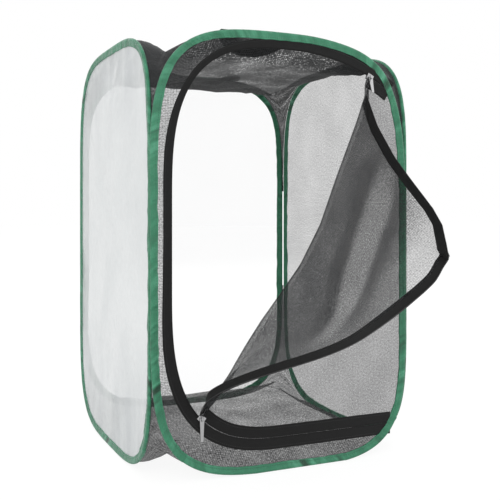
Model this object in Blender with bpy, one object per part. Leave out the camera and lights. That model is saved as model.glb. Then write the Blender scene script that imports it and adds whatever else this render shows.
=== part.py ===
"""Collapsible mesh insect cage with a zipped door, a plan of its sizes first and its pieces after.

The cage stands on the floor at zero height, its base is centred on the origin and its door faces -Y.
Four wire loops in green bindings carry the walls, and each wall turns about a cage corner to fold.
"""
import math

import bmesh
import bpy
from mathutils import Matrix, Vector

# Overall size of the cage, in metres
CAGE_WIDTH = 0.400
CAGE_DEPTH = 0.400
CAGE_HEIGHT = 0.600

# Gap left between neighbouring pieces, in metres
CLEARANCE = 0.0003

# Wire loops and the bindings round them, in metres
CORNER_HEIGHT = 0.210
FOOT_RISE = 0.0006
BEAD_THICKNESS = 0.0050
BEAD_DEPTH = 0.0050
BINDING_WIDTH = 0.0130
BINDING_WALL = 0.0005
WIRE_RADIUS = 0.0014
LAP_LENGTH = 0.0200

# Sheets, in metres
MESH_THICKNESS = 0.0004
TAPE_THICKNESS = 0.0005
FLAP_BILLOW = 0.0060
BILLOW_REACH = 0.0700

# Zip round the door, in metres
TAPE_WIDTH = 0.0160
COIL_WIDTH = 0.0022
COIL_THICKNESS = 0.0010
COIL_OFFSET = 0.0002
MESH_INSET = 0.0030
ZIP_SIDE_INSET = 0.0250
ZIP_TOP_INSET = 0.0230
ZIP_BOTTOM_INSET = 0.0460
SLIDER_LENGTH = 0.0100
SLIDER_WIDTH = 0.0086
SLIDER_PLATE = 0.0008
SLIDER_POST = 0.0020
POST_SHIFT = 0.0014
PULL_LENGTH = 0.0240
LOWER_PULL_LENGTH = 0.0300
PULL_WIDTH = 0.0060
PULL_THICKNESS = 0.0012
PULL_RIM = 0.0012
BRIDGE_BAR = 0.0009
SLIDER_REACH = 0.0080
TIP_WIDTH = 0.0015

# Carrying handles, in metres
STRAP_WIDTH = 0.0250
STRAP_THICKNESS = 0.0012
HANDLE_SPAN = 0.1330
HANDLE_SHIFT = 0.0330
BACK_HANDLE_SPAN = 0.2000
HANDLE_REACH = 0.0500
ROOF_REACH = 0.0130

# Shares and plain numbers that set proportions
LOOP_POWER = 3.86
ZIP_POWER = 3.0
ZIP_FALL_SHARE = 0.650
TOP_SLIDER_SHARE = 0.330
BOTTOM_SLIDER_SHARE = 0.766
CREASE_SHARE = 12 / 28
LAP_SHARE = 0.80
BEAD_SHOULDER_SHARE = 0.28
BEAD_FACE_SHARE = 0.72
BEAD_FLAT_SHARE = 0.40
NECK_SHARE = 0.92
SLOT_DEPTH_SHARE = 0.46
EDGE_SHARE = 0.80
ROOF_SAG_SHARE = 0.05
CREASE_WAVE_SHARE = 0.50
BRIDGE_WIDTH_SHARE = 0.80

# Angles, in degrees
FLAP_OPEN = 166.0
CORNER_FOLD = 120.0
PULL_LEAN = 15.0
STRAP_STAND = 75.0

# Counts
CORNER_STEPS = 11
DENSE_STEPS = 160
ROOF_STEPS = 14
FLAP_ROWS = 7
CORNER_ROWS = 3
DOOR_STEPS = 28
UPPER_STEPS = 5
LOWER_STEPS = 8
STRAP_STEPS = 18
RELAX_ROUNDS = 500
SPOT_STEPS = 4
SMALL = 1e-9

# Sizes that follow from the ones above
HALF_WIDTH = CAGE_WIDTH / 2
HALF_DEPTH = CAGE_DEPTH / 2
HALF_BEAD = BEAD_THICKNESS / 2
SHEET_STACK = MESH_THICKNESS + CLEARANCE + TAPE_THICKNESS
HALF_STACK = SHEET_STACK / 2
HALF_SLOT = HALF_STACK + CLEARANCE
HALF_LIP = HALF_SLOT + BINDING_WALL
HINGE_X = HALF_WIDTH - BEAD_THICKNESS - CLEARANCE / 2
HINGE_Y = HALF_DEPTH - BEAD_THICKNESS - CLEARANCE / 2
LOOP_HALF_X = HINGE_X - CLEARANCE
LOOP_HALF_Y = HINGE_Y - CLEARANCE
PANEL_X = HALF_WIDTH - HALF_BEAD
PANEL_Y = HALF_DEPTH - HALF_BEAD
SLOT_END = BINDING_WIDTH * SLOT_DEPTH_SHARE
ZIP_HALF = HALF_WIDTH - ZIP_SIDE_INSET - (HALF_WIDTH - LOOP_HALF_X)
ZIP_TOP = CAGE_HEIGHT - ZIP_TOP_INSET
ZIP_FALL_REACH = CAGE_WIDTH * ZIP_FALL_SHARE
PULL_REACH = PULL_LENGTH + PULL_WIDTH / 2
TAPE_REACH = TAPE_WIDTH + MESH_INSET * 2
FOLD_ETA = HALF_STACK + CLEARANCE / 2
FOLD_RISE = TAPE_THICKNESS + CLEARANCE


# Materials
def material(name, color, roughness, metallic, alpha):
    """Make a plain material for one kind of stuff."""
    made = bpy.data.materials.new(name)
    made.use_nodes = True
    shader = made.node_tree.nodes["Principled BSDF"]
    shader.inputs["Base Color"].default_value = (color[0], color[1], color[2], 1)
    shader.inputs["Roughness"].default_value = roughness
    shader.inputs["Metallic"].default_value = metallic
    shader.inputs["Alpha"].default_value = alpha
    made.diffuse_color = (color[0], color[1], color[2], alpha)
    return made


def make_materials():
    """Make every material and give them by name."""
    return {
        "green_binding": material("green_binding", (0.03, 0.19, 0.10), 0.55, 0, 1),
        "spring_steel": material("spring_steel", (0.45, 0.46, 0.47), 0.35, 1, 1),
        "black_mesh": material("black_mesh", (0.03, 0.03, 0.03), 0.8, 0, 0.5),
        "clear_film": material("clear_film", (0.85, 0.87, 0.88), 0.15, 0, 0.35),
        "black_tape": material("black_tape", (0.012, 0.012, 0.012), 0.8, 0, 1),
        "black_coil": material("black_coil", (0.015, 0.015, 0.016), 0.4, 0, 1),
        "black_webbing": material("black_webbing", (0.02, 0.02, 0.02), 0.75, 0, 1),
        "slider_metal": material("slider_metal", (0.35, 0.36, 0.37), 0.3, 1, 1),
    }


# Mesh helpers
def clear_scene():
    """Take every object out of the scene."""
    for item in list(bpy.data.objects):
        bpy.data.objects.remove(item, do_unlink=True)


def finish_mesh(name, build, paint, pivot, smooth):
    """Turn a built mesh into an object with its origin at the pivot."""
    bmesh.ops.recalc_face_normals(build, faces=build.faces)
    mesh = bpy.data.meshes.new(name)
    build.to_mesh(mesh)
    build.free()
    mesh.transform(Matrix.Translation(-pivot))
    for face in mesh.polygons:
        face.use_smooth = smooth
    mesh.materials.append(paint)
    item = bpy.data.objects.new(name, mesh)
    item.location = pivot
    bpy.context.scene.collection.objects.link(item)
    return item


def lofted(name, rings, closed, paint, pivot, smooth=True):
    """Skin a row of equal rings, joined end to end or capped."""
    build = bmesh.new()
    rows = [[build.verts.new(point) for point in ring] for ring in rings]
    pairs = list(zip(rows, rows[1:] + rows[:1])) if closed else list(zip(rows, rows[1:]))
    for here, there in pairs:
        for index in range(len(here)):
            after = (index + 1) % len(here)
            build.faces.new((here[index], here[after], there[after], there[index]))
    if not closed:
        build.faces.new(rows[0][::-1])
        build.faces.new(rows[-1])
    return finish_mesh(name, build, paint, pivot, smooth)


def slab(name, near, far, paint, pivot):
    """Close two matching grids of points into a thin solid."""
    build = bmesh.new()
    front = [[build.verts.new(point) for point in row] for row in near]
    back = [[build.verts.new(point) for point in row] for row in far]
    rows = len(front)
    cols = len(front[0])
    for i in range(rows - 1):
        for j in range(cols - 1):
            quad = (front[i][j], front[i + 1][j], front[i + 1][j + 1], front[i][j + 1])
            build.faces.new(quad)
            quad = (back[i][j], back[i][j + 1], back[i + 1][j + 1], back[i + 1][j])
            build.faces.new(quad)
    edge = [(i, 0) for i in range(rows)] + [(rows - 1, j) for j in range(1, cols)]
    edge += [(i, cols - 1) for i in range(rows - 2, -1, -1)] + [(0, j) for j in range(cols - 2, 0, -1)]
    for here, there in zip(edge, edge[1:] + edge[:1]):
        build.faces.new((front[here[0]][here[1]], back[here[0]][here[1]],
                         back[there[0]][there[1]], front[there[0]][there[1]]))
    return finish_mesh(name, build, paint, pivot, False)


def box_points(low, high):
    """Give the eight corners of a box as two rings."""
    ring = [(low[0], low[1]), (high[0], low[1]), (high[0], high[1]), (low[0], high[1])]
    return [[Vector((x, y, z)) for x, y in ring] for z in (low[2], high[2])]


def joined_boxes(name, boxes, paint, pivot):
    """Join overlapping boxes into one solid, each placed by its own rule."""
    items = []
    for index, (low, high, place) in enumerate(boxes):
        rings = [[place(point) for point in ring] for ring in box_points(low, high)]
        items.append(lofted(name + str(index), rings, False, paint, pivot, False))
    whole = items[0]
    for other in items[1:]:
        step = whole.modifiers.new("join", "BOOLEAN")
        step.operation = "UNION"
        step.solver = "EXACT"
        step.object = other
        bpy.context.view_layer.update()
        graph = bpy.context.evaluated_depsgraph_get()
        mesh = bpy.data.meshes.new_from_object(whole.evaluated_get(graph))
        whole.modifiers.clear()
        whole.data = mesh
    for other in items[1:]:
        bpy.data.objects.remove(other, do_unlink=True)
    whole.name = name
    return whole


# Flat curves, as lists of (along, up) points
def power_corner(half, height, power, start, stop, steps, centre):
    """Points of a rounded corner, swept by angle about its centre."""
    points = []
    for step in range(steps + 1):
        angle = math.radians(start + (stop - start) * step / steps)
        cosine = math.cos(angle)
        sine = math.sin(angle)
        reach = 1 / (abs(cosine) ** power + abs(sine) ** power) ** (1 / power)
        points.append(Vector((half * reach * cosine, centre + height * reach * sine)))
    return points


def loop_outline(half, steps):
    """Outer edge of one wire loop, anticlockwise from its right side."""
    low = CORNER_HEIGHT
    high = CAGE_HEIGHT - CORNER_HEIGHT
    points = power_corner(half, CORNER_HEIGHT, LOOP_POWER, 0, 90, steps, high)
    points += power_corner(half, CORNER_HEIGHT, LOOP_POWER, 90, 180, steps, high)[1:]
    points += power_corner(half, CORNER_HEIGHT, LOOP_POWER, 180, 270, steps, low)
    points += power_corner(half, CORNER_HEIGHT, LOOP_POWER, 270, 360, steps, low)[1:]
    for point in points:
        if point.y < FOOT_RISE:
            point.y = 0
        if point.y > CAGE_HEIGHT - FOOT_RISE:
            point.y = CAGE_HEIGHT
    return points


def inward_normals(points):
    """Inward unit normals of an anticlockwise ring."""
    normals = []
    for index in range(len(points)):
        before = points[index - 1]
        after = points[(index + 1) % len(points)]
        run = (after - before).normalized()
        normals.append(Vector((-run.y, run.x)))
    return normals


def inset_ring(half, depth, steps):
    """The loop's outline moved inwards by a depth."""
    points = loop_outline(half, steps)
    normals = inward_normals(points)
    return [point + normal * depth for point, normal in zip(points, normals)]


def lengths_along(points):
    """Running length at each point of a line."""
    total = [0]
    for here, there in zip(points, points[1:]):
        total.append(total[-1] + (there - here).length)
    return total


def resampled(points, steps):
    """The same line with equal steps."""
    total = lengths_along(points)
    result = []
    index = 0
    for step in range(steps + 1):
        want = total[-1] * step / steps
        while index < len(points) - 2 and total[index + 1] < want:
            index += 1
        span = max(total[index + 1] - total[index], SMALL)
        result.append(points[index].lerp(points[index + 1], (want - total[index]) / span))
    return result


def inside(point, ring):
    """Whether a point lies inside a closed ring."""
    hit = False
    for here, there in zip(ring, ring[1:] + ring[:1]):
        if (here.y > point.y) != (there.y > point.y):
            cross = here.x + (point.y - here.y) * (there.x - here.x) / (there.y - here.y)
            if point.x < cross:
                hit = not hit
    return hit


def trimmed(points, ring):
    """A line cut off where it leaves the ring."""
    kept = [points[0]]
    for here, there in zip(points, points[1:]):
        if inside(there, ring):
            kept.append(there)
            continue
        low = 0
        high = 1
        for _ in range(CORNER_STEPS + CORNER_STEPS):
            middle = (low + high) / 2
            if inside(here.lerp(there, middle), ring):
                low = middle
            else:
                high = middle
        kept.append(here.lerp(there, low))
        break
    return kept


def nearest_on(point, ring):
    """The closest point of a closed ring."""
    best = None
    for here, there in zip(ring, ring[1:] + ring[:1]):
        run = there - here
        share = (point - here).dot(run) / max(run.length_squared, SMALL * SMALL)
        spot = here + run * min(1, max(0, share))
        if best is None or (spot - point).length < (best - point).length:
            best = spot
    return best


def pulled_inside(points, ring):
    """A line whose outside points are moved onto the ring."""
    return [point if inside(point, ring) else nearest_on(point, ring) for point in points]


# The door's zip line
def zip_runs():
    """The zip's centre line in three runs: up and right, round the door, down and right."""
    high = ZIP_TOP - CORNER_HEIGHT
    low = ZIP_BOTTOM_INSET + CORNER_HEIGHT
    full = power_corner(ZIP_FALL_REACH, CORNER_HEIGHT, 2, 1, 90, DENSE_STEPS, high)
    split = CAGE_WIDTH * TOP_SLIDER_SHARE
    share = math.sqrt(1 - (split / ZIP_FALL_REACH) ** 2)
    top = Vector((split, high + CORNER_HEIGHT * share))
    upper = [top] + [point for point in reversed(full) if point.x > split]
    door = [top] + [point for point in full if point.x < split]
    door += power_corner(ZIP_HALF, CORNER_HEIGHT, ZIP_POWER, 90, 180, DENSE_STEPS, high)[1:]
    corner = power_corner(ZIP_HALF, CORNER_HEIGHT, ZIP_POWER, 180, 270, DENSE_STEPS, low)
    stop = -ZIP_HALF * BOTTOM_SLIDER_SHARE
    door += [point for point in corner if point.x < stop]
    rest = [point for point in corner if point.x >= stop]
    end = rest[0]
    door.append(end)
    lower = rest + [Vector((LOOP_HALF_X + BINDING_WIDTH, ZIP_BOTTOM_INSET))]
    return upper, door, lower


def outward_normals(upper, door, lower):
    """Unit normals of the three runs, away from the door."""
    line = upper[:0:-1] + door + lower[1:]
    normals = []
    for index in range(len(line)):
        before = line[max(0, index - 1)]
        after = line[min(len(line) - 1, index + 1)]
        run = (after - before).normalized()
        normals.append(Vector((run.y, -run.x)))
    first = len(upper) - 1
    last = first + len(door) - 1
    return normals[first::-1], normals[first:last + 1], normals[last:]


class Zip:
    """The zip line and the curves beside it."""

    def __init__(self):
        runs = zip_runs()
        self.door = resampled(runs[1], DOOR_STEPS * 4)
        normals = outward_normals(runs[0], runs[1], runs[2])
        self.normals = {"upper": normals[0], "door": normals[1], "lower": normals[2]}
        self.dense = {"upper": runs[0], "door": runs[1], "lower": runs[2]}
        self.top = runs[1][0]
        self.low = runs[1][-1]
        self.chord = (self.low - self.top).normalized()
        self.span = (self.low - self.top).length
        self.turn = resampled(runs[1], DOOR_STEPS)[round(DOOR_STEPS * CREASE_SHARE)]
        self.crease = (self.turn - self.top).normalized()

    def beside(self, run, offset):
        """One run moved sideways, outwards when positive."""
        pairs = zip(self.dense[run], self.normals[run])
        return [point + normal * offset for point, normal in pairs]

    def curve(self, run, offset, ring, steps):
        """One run moved sideways, cut at the ring and evenly stepped."""
        line = self.beside(run, offset)
        if run != "door":
            line = trimmed(line, ring)
        return resampled(pulled_inside(resampled(line, DENSE_STEPS), ring), steps)

    def whole(self, offset, ring):
        """The full line from the right top end round to the right bottom end."""
        first = self.curve("upper", offset, ring, UPPER_STEPS)
        middle = self.curve("door", offset, ring, DOOR_STEPS)
        last = self.curve("lower", offset, ring, LOWER_STEPS)
        return first[:0:-1] + middle + last[1:]

    def netting_edge(self):
        """The outline of the door's netting, closely stepped along the coil's own straight runs."""
        runs = resampled(self.beside("door", -MESH_INSET), DOOR_STEPS)
        return resampled(runs, DENSE_STEPS)


def clipped_strip(zipper, near, far, corner_side):
    """Two edges of the door tape, on one side of the corner crease."""
    inner = []
    outer = []
    points = resampled(zipper.dense["door"], DOOR_STEPS)
    starts = resampled(zipper.beside("door", -near), DOOR_STEPS)
    ends = resampled(zipper.beside("door", -far), DOOR_STEPS)
    total = lengths_along(points)
    for index in range(DOOR_STEPS + 1):
        to_top = total[index]
        to_low = total[-1] - total[index]
        if to_top < PULL_REACH or to_low < SLIDER_REACH:
            continue
        low, high = split_by_crease(zipper, starts[index], ends[index], corner_side)
        if (high - low) * (far - near) < TIP_WIDTH:
            continue
        outer.append(starts[index].lerp(ends[index], low))
        inner.append(starts[index].lerp(ends[index], high))
    return outer, inner


def split_by_crease(zipper, start, end, corner_side):
    """Shares of a short line that lie on the wanted side of the crease."""
    gap = CLEARANCE / 2
    side = Vector((-zipper.crease.y, zipper.crease.x))
    here = (start - zipper.top).dot(side)
    there = (end - zipper.top).dot(side)
    if here < 0:
        here = -here
        there = -there
        flip = -1
    else:
        flip = 1
    past_turn = flip * crease_sign(zipper) < 0
    if past_turn:
        return (0, 1) if not corner_side else (0, 0)
    if there > gap:
        return (0, 1) if corner_side else (0, 0)
    if corner_side:
        return 0, (here - gap) / max(here - there, SMALL)
    return min(1, (here + gap) / max(here - there, SMALL)), 1


def crease_sign(zipper):
    """Sign of the side of the crease on which the corner lies."""
    side = Vector((-zipper.crease.y, zipper.crease.x))
    middle = resampled(zipper.dense["door"], DOOR_STEPS)[round(DOOR_STEPS * CREASE_SHARE / 2)]
    return math.copysign(1, (middle - zipper.top).dot(side))


# Places in space
def on_front(point, eta):
    """A front wall point, eta outwards from the wall's middle plane."""
    return Vector((point.x, -PANEL_Y - eta, point.y))


def on_back(point, eta):
    """A back wall point, eta outwards."""
    return Vector((point.x, PANEL_Y + eta, point.y))


def on_left(point, eta):
    """A left wall point, eta outwards."""
    return Vector((-PANEL_X - eta, point.x, point.y))


def on_right(point, eta):
    """A right wall point, eta outwards."""
    return Vector((PANEL_X + eta, point.x, point.y))


def turned(pivot, axis, degrees):
    """A turn about a line in space."""
    turn = Matrix.Rotation(math.radians(degrees), 4, axis)
    return Matrix.Translation(pivot) @ turn @ Matrix.Translation(-pivot)


class Door:
    """Places of the open door's two leaves, from their places when shut."""

    def __init__(self, zipper):
        top = on_front(zipper.top, FOLD_ETA)
        low = on_front(zipper.low, FOLD_ETA)
        self.hinge = top
        self.hinge_axis = (top - low).normalized()
        self.main_turn = turned(top, self.hinge_axis, FLAP_OPEN)
        near = on_front(zipper.top, -FOLD_ETA)
        far = on_front(zipper.turn, -FOLD_ETA)
        self.crease_axis = (far - near).normalized()
        self.corner_turn = turned(near, self.crease_axis, CORNER_FOLD)
        self.crease = near

    def main(self, point, eta):
        """A main leaf point as it stands open."""
        return self.main_turn @ on_front(point, eta)

    def corner(self, point, eta):
        """A corner leaf point as it stands open."""
        return self.main_turn @ self.corner_turn @ on_front(point, eta)

    def crease_place(self):
        """The crease's pivot and axis with the door open."""
        pivot = self.main_turn @ self.crease
        axis = (self.main_turn.to_3x3() @ self.crease_axis).normalized()
        return pivot, axis


# Loops, wires and bindings
def binding_section(grow):
    """Half of the binding's outer contour, as (depth, half thickness) pairs."""
    shoulder = BEAD_DEPTH * BEAD_SHOULDER_SHARE - grow
    face = BEAD_DEPTH * BEAD_FACE_SHARE + grow
    neck = BEAD_DEPTH + grow + HALF_BEAD
    return [
        (BINDING_WIDTH + grow, HALF_LIP + grow),
        (neck, HALF_LIP + grow),
        (face, HALF_BEAD + grow),
        (shoulder, HALF_BEAD + grow),
        (-grow, HALF_BEAD * BEAD_FLAT_SHARE + grow),
    ]


def cavity_section():
    """Half of the binding's inner contour, from its open lip to the wire."""
    neck = BEAD_DEPTH * NECK_SHARE
    room = HALF_BEAD - BINDING_WALL - CLEARANCE / 2
    return [
        (BINDING_WIDTH, HALF_SLOT),
        (neck, HALF_SLOT),
        (BEAD_DEPTH * (1 - BEAD_SHOULDER_SHARE), room),
        (BEAD_DEPTH * BEAD_SHOULDER_SHARE, room),
    ]


def full_section(outer, inner):
    """The closed outline of a sleeve that is open at its lip."""
    ring = list(outer)
    ring += [(depth, -half) for depth, half in reversed(outer)]
    ring += [(depth, -half) for depth, half in inner]
    ring.append((BINDING_WALL, 0))
    ring += [(depth, half) for depth, half in reversed(inner)]
    return ring


def lap_inner():
    """Half of the lap's inner contour, a gap outside the binding."""
    return binding_section(CLEARANCE)[1:]


def make_loop(side, half, place, pivot, paints):
    """Make one wire loop with its binding and the binding's lap."""
    outline = loop_outline(half, CORNER_STEPS)
    normals = inward_normals(outline)
    section = full_section(binding_section(0), cavity_section())
    rings = []
    wires = []
    for point, normal in zip(outline, normals):
        rings.append([place(point + normal * depth, eta) for depth, eta in section])
        wires.append(wire_ring(point, normal, place))
    lofted(side + "_binding", rings, True, paints["green_binding"], pivot, False)
    lofted(side + "_wire_loop", wires, True, paints["spring_steel"], pivot)
    make_lap(side, outline, normals, place, pivot, paints)


def wire_ring(point, normal, place):
    """One six-sided ring of the spring wire."""
    ring = []
    for step in range(6):
        angle = math.radians(60 * step)
        depth = HALF_BEAD + WIRE_RADIUS * math.cos(angle)
        ring.append(place(point + normal * depth, WIRE_RADIUS * math.sin(angle)))
    return ring


def make_lap(side, outline, normals, place, pivot, paints):
    """The short outer overlap where the binding's two ends meet, low on the left of its wall."""
    start = 0
    goal = outline[0].x * LAP_SHARE
    for index, point in enumerate(outline):
        if point.y < CORNER_HEIGHT and point.x < 0 and abs(point.x) <= goal:
            start = index
            break
    here = outline[start - 1]
    there = outline[start]
    share = min(1, LAP_LENGTH / (there - here).length)
    outer = binding_section(CLEARANCE + BINDING_WALL)[1:]
    inner = lap_inner()
    ring = list(outer)
    ring += [(depth, -half) for depth, half in (outer[-1], inner[-1])]
    ring += list(reversed(inner))
    rings = []
    low_share = (1 - share) / 2
    for part in (low_share, 1 - low_share):
        point = here.lerp(there, part)
        normal = normals[start - 1].lerp(normals[start], part)
        rings.append([place(point + normal * depth, eta) for depth, eta in ring])
    lofted(side + "_binding_lap", rings, False, paints["green_binding"], pivot, False)


# Wall sheets
def flat_sheet(name, ring, place, low, high, paint, pivot):
    """A flat sheet with a closed outline."""
    rings = [[place(point, eta) for point in ring] for eta in (low, high)]
    return lofted(name, rings, False, paint, pivot, False)


def between(first, second, rows):
    """A grid of points between two matching lines."""
    return [[a.lerp(b, row / rows) for a, b in zip(first, second)] for row in range(rows + 1)]


def strip(name, first, second, rows, low, high, place, paint, pivot):
    """A flat strip between two matching lines, as thick as the eta range."""
    grid = between(first, second, rows)
    near = [[place(point, high) for point in row] for row in grid]
    far = [[place(point, low) for point in row] for row in grid]
    return slab(name, near, far, paint, pivot)


def make_walls(paints, corners):
    """Make the clear left and back walls and the mesh right wall."""
    half = MESH_THICKNESS / 2
    side_ring = inset_ring(LOOP_HALF_Y, SLOT_END, CORNER_STEPS)
    back_ring = inset_ring(LOOP_HALF_X, SLOT_END, CORNER_STEPS)
    film = paints["clear_film"]
    flat_sheet("left_clear_wall", side_ring, on_left, -half, half, film, corners["left"])
    flat_sheet("right_mesh_wall", side_ring, on_right, -half, half, paints["black_mesh"], corners["right"])
    flat_sheet("back_clear_wall", back_ring, on_back, -half, half, film, corners["back"])


# Layers of the front wall, as eta ranges
def mesh_layer():
    """Eta range of the netting."""
    return -HALF_STACK, -HALF_STACK + MESH_THICKNESS


def tape_layer():
    """Eta range of the zip tape."""
    return HALF_STACK - TAPE_THICKNESS, HALF_STACK


def coil_layer():
    """Eta range of the zip coil."""
    high = HALF_STACK - TAPE_THICKNESS - CLEARANCE
    return high - COIL_THICKNESS, high


def make_front_wall(zipper, rings, paints):
    """Make the netting round the door, the fixed tape, its coil and the fixed door netting."""
    front = Vector((0, 0, 0))
    mesh = paints["black_mesh"]
    low, high = mesh_layer()
    inner = zipper.whole(MESH_INSET, rings["slot_near"])
    outer = [nearest_on(point, rings["slot"]) for point in inner]
    strip("front_mesh_surround", inner, outer, 1, low, high, on_front, mesh, front)
    low, high = tape_layer()
    inner = zipper.whole(CLEARANCE / 2, rings["slot_near"])
    outer = zipper.whole(TAPE_WIDTH, rings["slot"])
    strip("front_zip_tape", inner, outer, 1, low, high, on_front, paints["black_tape"], front)
    low, high = coil_layer()
    inner = zipper.whole(COIL_OFFSET, rings["lip"])
    outer = zipper.whole(COIL_OFFSET + COIL_WIDTH, rings["lip"])
    strip("front_zip_coil", inner, outer, 1, low, high, on_front, paints["black_coil"], front)
    make_fixed_door(zipper, rings, paints)


def make_fixed_door(zipper, rings, paints):
    """Make the part of the door that stays zipped up, right of the fold."""
    front = Vector((0, 0, 0))
    low, high = mesh_layer()
    side = Vector((-zipper.chord.y, zipper.chord.x))
    shift = side * (CLEARANCE / 2)
    fold = line_of(zipper.top + shift, zipper.chord, MESH_INSET, zipper.span - MESH_INSET, DOOR_STEPS)
    upper = zipper.curve("upper", -MESH_INSET, rings["slot"], UPPER_STEPS)
    lower = zipper.curve("lower", -MESH_INSET, rings["slot"], LOWER_STEPS)
    rim = ring_between(rings["slot"], upper[-1], lower[-1])
    edge = resampled(shortened(upper + rim + lower[::-1], TIP_WIDTH), DOOR_STEPS)
    grid = between(fold, edge, FLAP_ROWS)

    def lift(point):
        return fold_rise(zipper, point)

    leaf("door_mesh_fixed", grid, on_front, lift, paints["black_mesh"], front)
    for run, steps in (("upper", UPPER_STEPS), ("lower", LOWER_STEPS)):
        low, high = tape_layer()
        inner = zipper.curve(run, -CLEARANCE / 2, rings["slot_near"], steps)
        outer = zipper.curve(run, -TAPE_WIDTH, rings["slot"], steps)
        name = "door_zip_tape_" + run
        strip(name, inner, outer, 1, low, high, on_front, paints["black_tape"], front)
        low, high = coil_layer()
        inner = zipper.curve(run, -COIL_OFFSET, rings["lip"], steps)
        outer = zipper.curve(run, -COIL_OFFSET - COIL_WIDTH, rings["lip"], steps)
        name = "door_zip_coil_" + run
        strip(name, inner, outer, 1, low, high, on_front, paints["black_coil"], front)


def line_of(start, direction, first, last, steps):
    """Points of a straight line between two distances."""
    reach = last - first
    return [start + direction * (first + reach * step / steps) for step in range(steps + 1)]


def shortened(points, cut):
    """A line with both its tips cut back."""
    total = lengths_along(points)
    kept = [point for point, at in zip(points, total) if cut < at < total[-1] - cut]
    return kept


def ring_between(ring, start, stop):
    """Points of a ring on its right side, from an upper spot down to a lower one."""
    points = [point for point in ring if point.x > 0 and stop.y < point.y < start.y]
    return sorted(points, key=lambda point: -point.y)


# The open door leaves
def smooth_share(value):
    """A share from nought to one with soft ends."""
    share = min(1, max(0, value))
    return share * share * (3 - 2 * share)


def gap_to_line(point, line):
    """Distance from a point to the nearest point of an open line."""
    return min((point - other).length for other in line)


def billow(zipper, point):
    """Height of the soft wave in the large leaf, nothing at the fold and at the tape."""
    run = point - zipper.top
    along = run.dot(zipper.chord) / zipper.span
    across = abs(run.dot(Vector((-zipper.chord.y, zipper.chord.x))))
    edge = gap_to_line(point, zipper.door) - TAPE_REACH
    rise = smooth_share(across / BILLOW_REACH) * smooth_share(edge / BILLOW_REACH)
    ripple = 1 - CREASE_WAVE_SHARE * math.cos(4 * math.pi * along)
    return FLAP_BILLOW * rise * ripple


def fold_rise(zipper, point):
    """Height to which the netting's edge is drawn up to the fold line, nothing away from it."""
    run = point - zipper.top
    if abs(run.dot(Vector((-zipper.chord.y, zipper.chord.x)))) > CLEARANCE:
        return 0
    along = run.dot(zipper.chord)
    end = min(along, zipper.span - along) - TAPE_REACH
    return FOLD_RISE * smooth_share(end / BILLOW_REACH)


def tape_edge(zipper, first, second):
    """The line between two others that just clears the tape's inner edge."""
    result = []
    for fold, rim in zip(first, second):
        share = 0
        while share < EDGE_SHARE:
            if gap_to_line(rim.lerp(fold, share), zipper.door) > TAPE_REACH:
                break
            share += EDGE_SHARE / DOOR_STEPS
        result.append(rim.lerp(fold, max(share, EDGE_SHARE / DOOR_STEPS)))
    return result


def leaf(name, grid, place, lift, paint, pivot):
    """A soft leaf of netting over a grid of flat points."""
    low, high = mesh_layer()
    near = [[place(point, high + lift(point)) for point in row] for row in grid]
    far = [[place(point, low + lift(point)) for point in row] for row in grid]
    return slab(name, near, far, paint, pivot)


def crossing(points, origin, direction, from_end):
    """Where a line of points crosses a straight line, and the index after it."""
    side = Vector((-direction.y, direction.x))
    marks = [(point - origin).dot(side) for point in points]
    order = range(len(points) - 1)
    if from_end:
        order = range(len(points) - 2, -1, -1)
    for index in order:
        if marks[index] * marks[index + 1] <= 0:
            share = marks[index] / (marks[index] - marks[index + 1])
            return points[index].lerp(points[index + 1], share), index + 1
    return points[-1], len(points) - 1


def make_main_leaf(zipper, door, paints):
    """Make the large leaf of the door, folded open over the fixed part."""
    side = Vector((zipper.chord.y, -zipper.chord.x))
    fold = zipper.top + side * (CLEARANCE / 2)
    first = line_of(fold, zipper.chord, PULL_REACH, zipper.span - PULL_REACH, DOOR_STEPS)
    line = zipper.netting_edge()
    spot, index = crossing(line, zipper.top, zipper.crease, True)
    inward = Vector((zipper.crease.y, -zipper.crease.x)) * crease_sign(zipper)
    start = zipper.top + inward * (CLEARANCE / 2)
    reach = (spot - zipper.top).length
    edge = line_of(start, zipper.crease, PULL_REACH, reach - TIP_WIDTH, DOOR_STEPS)
    rest = [point for point in line[index:] if (point - zipper.low).length > PULL_REACH]
    second = resampled(edge + rest, DOOR_STEPS)
    grid = between(first, tape_edge(zipper, first, second), FLAP_ROWS) + [second]

    def lift(point):
        return billow(zipper, point) + fold_rise(zipper, point)

    leaf("door_mesh_flap", grid, door.main, lift, paints["black_mesh"], door.hinge)
    outer, inner = clipped_strip(zipper, CLEARANCE / 2, TAPE_WIDTH, False)
    low, high = tape_layer()
    strip("door_zip_tape_flap", outer, inner, 1, low, high, door.main, paints["black_tape"], door.hinge)
    low, high = coil_layer()
    outer, inner = coil_lines(zipper, False)
    strip("door_zip_coil_flap", outer, inner, 1, low, high, door.main, paints["black_coil"], door.hinge)


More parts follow.
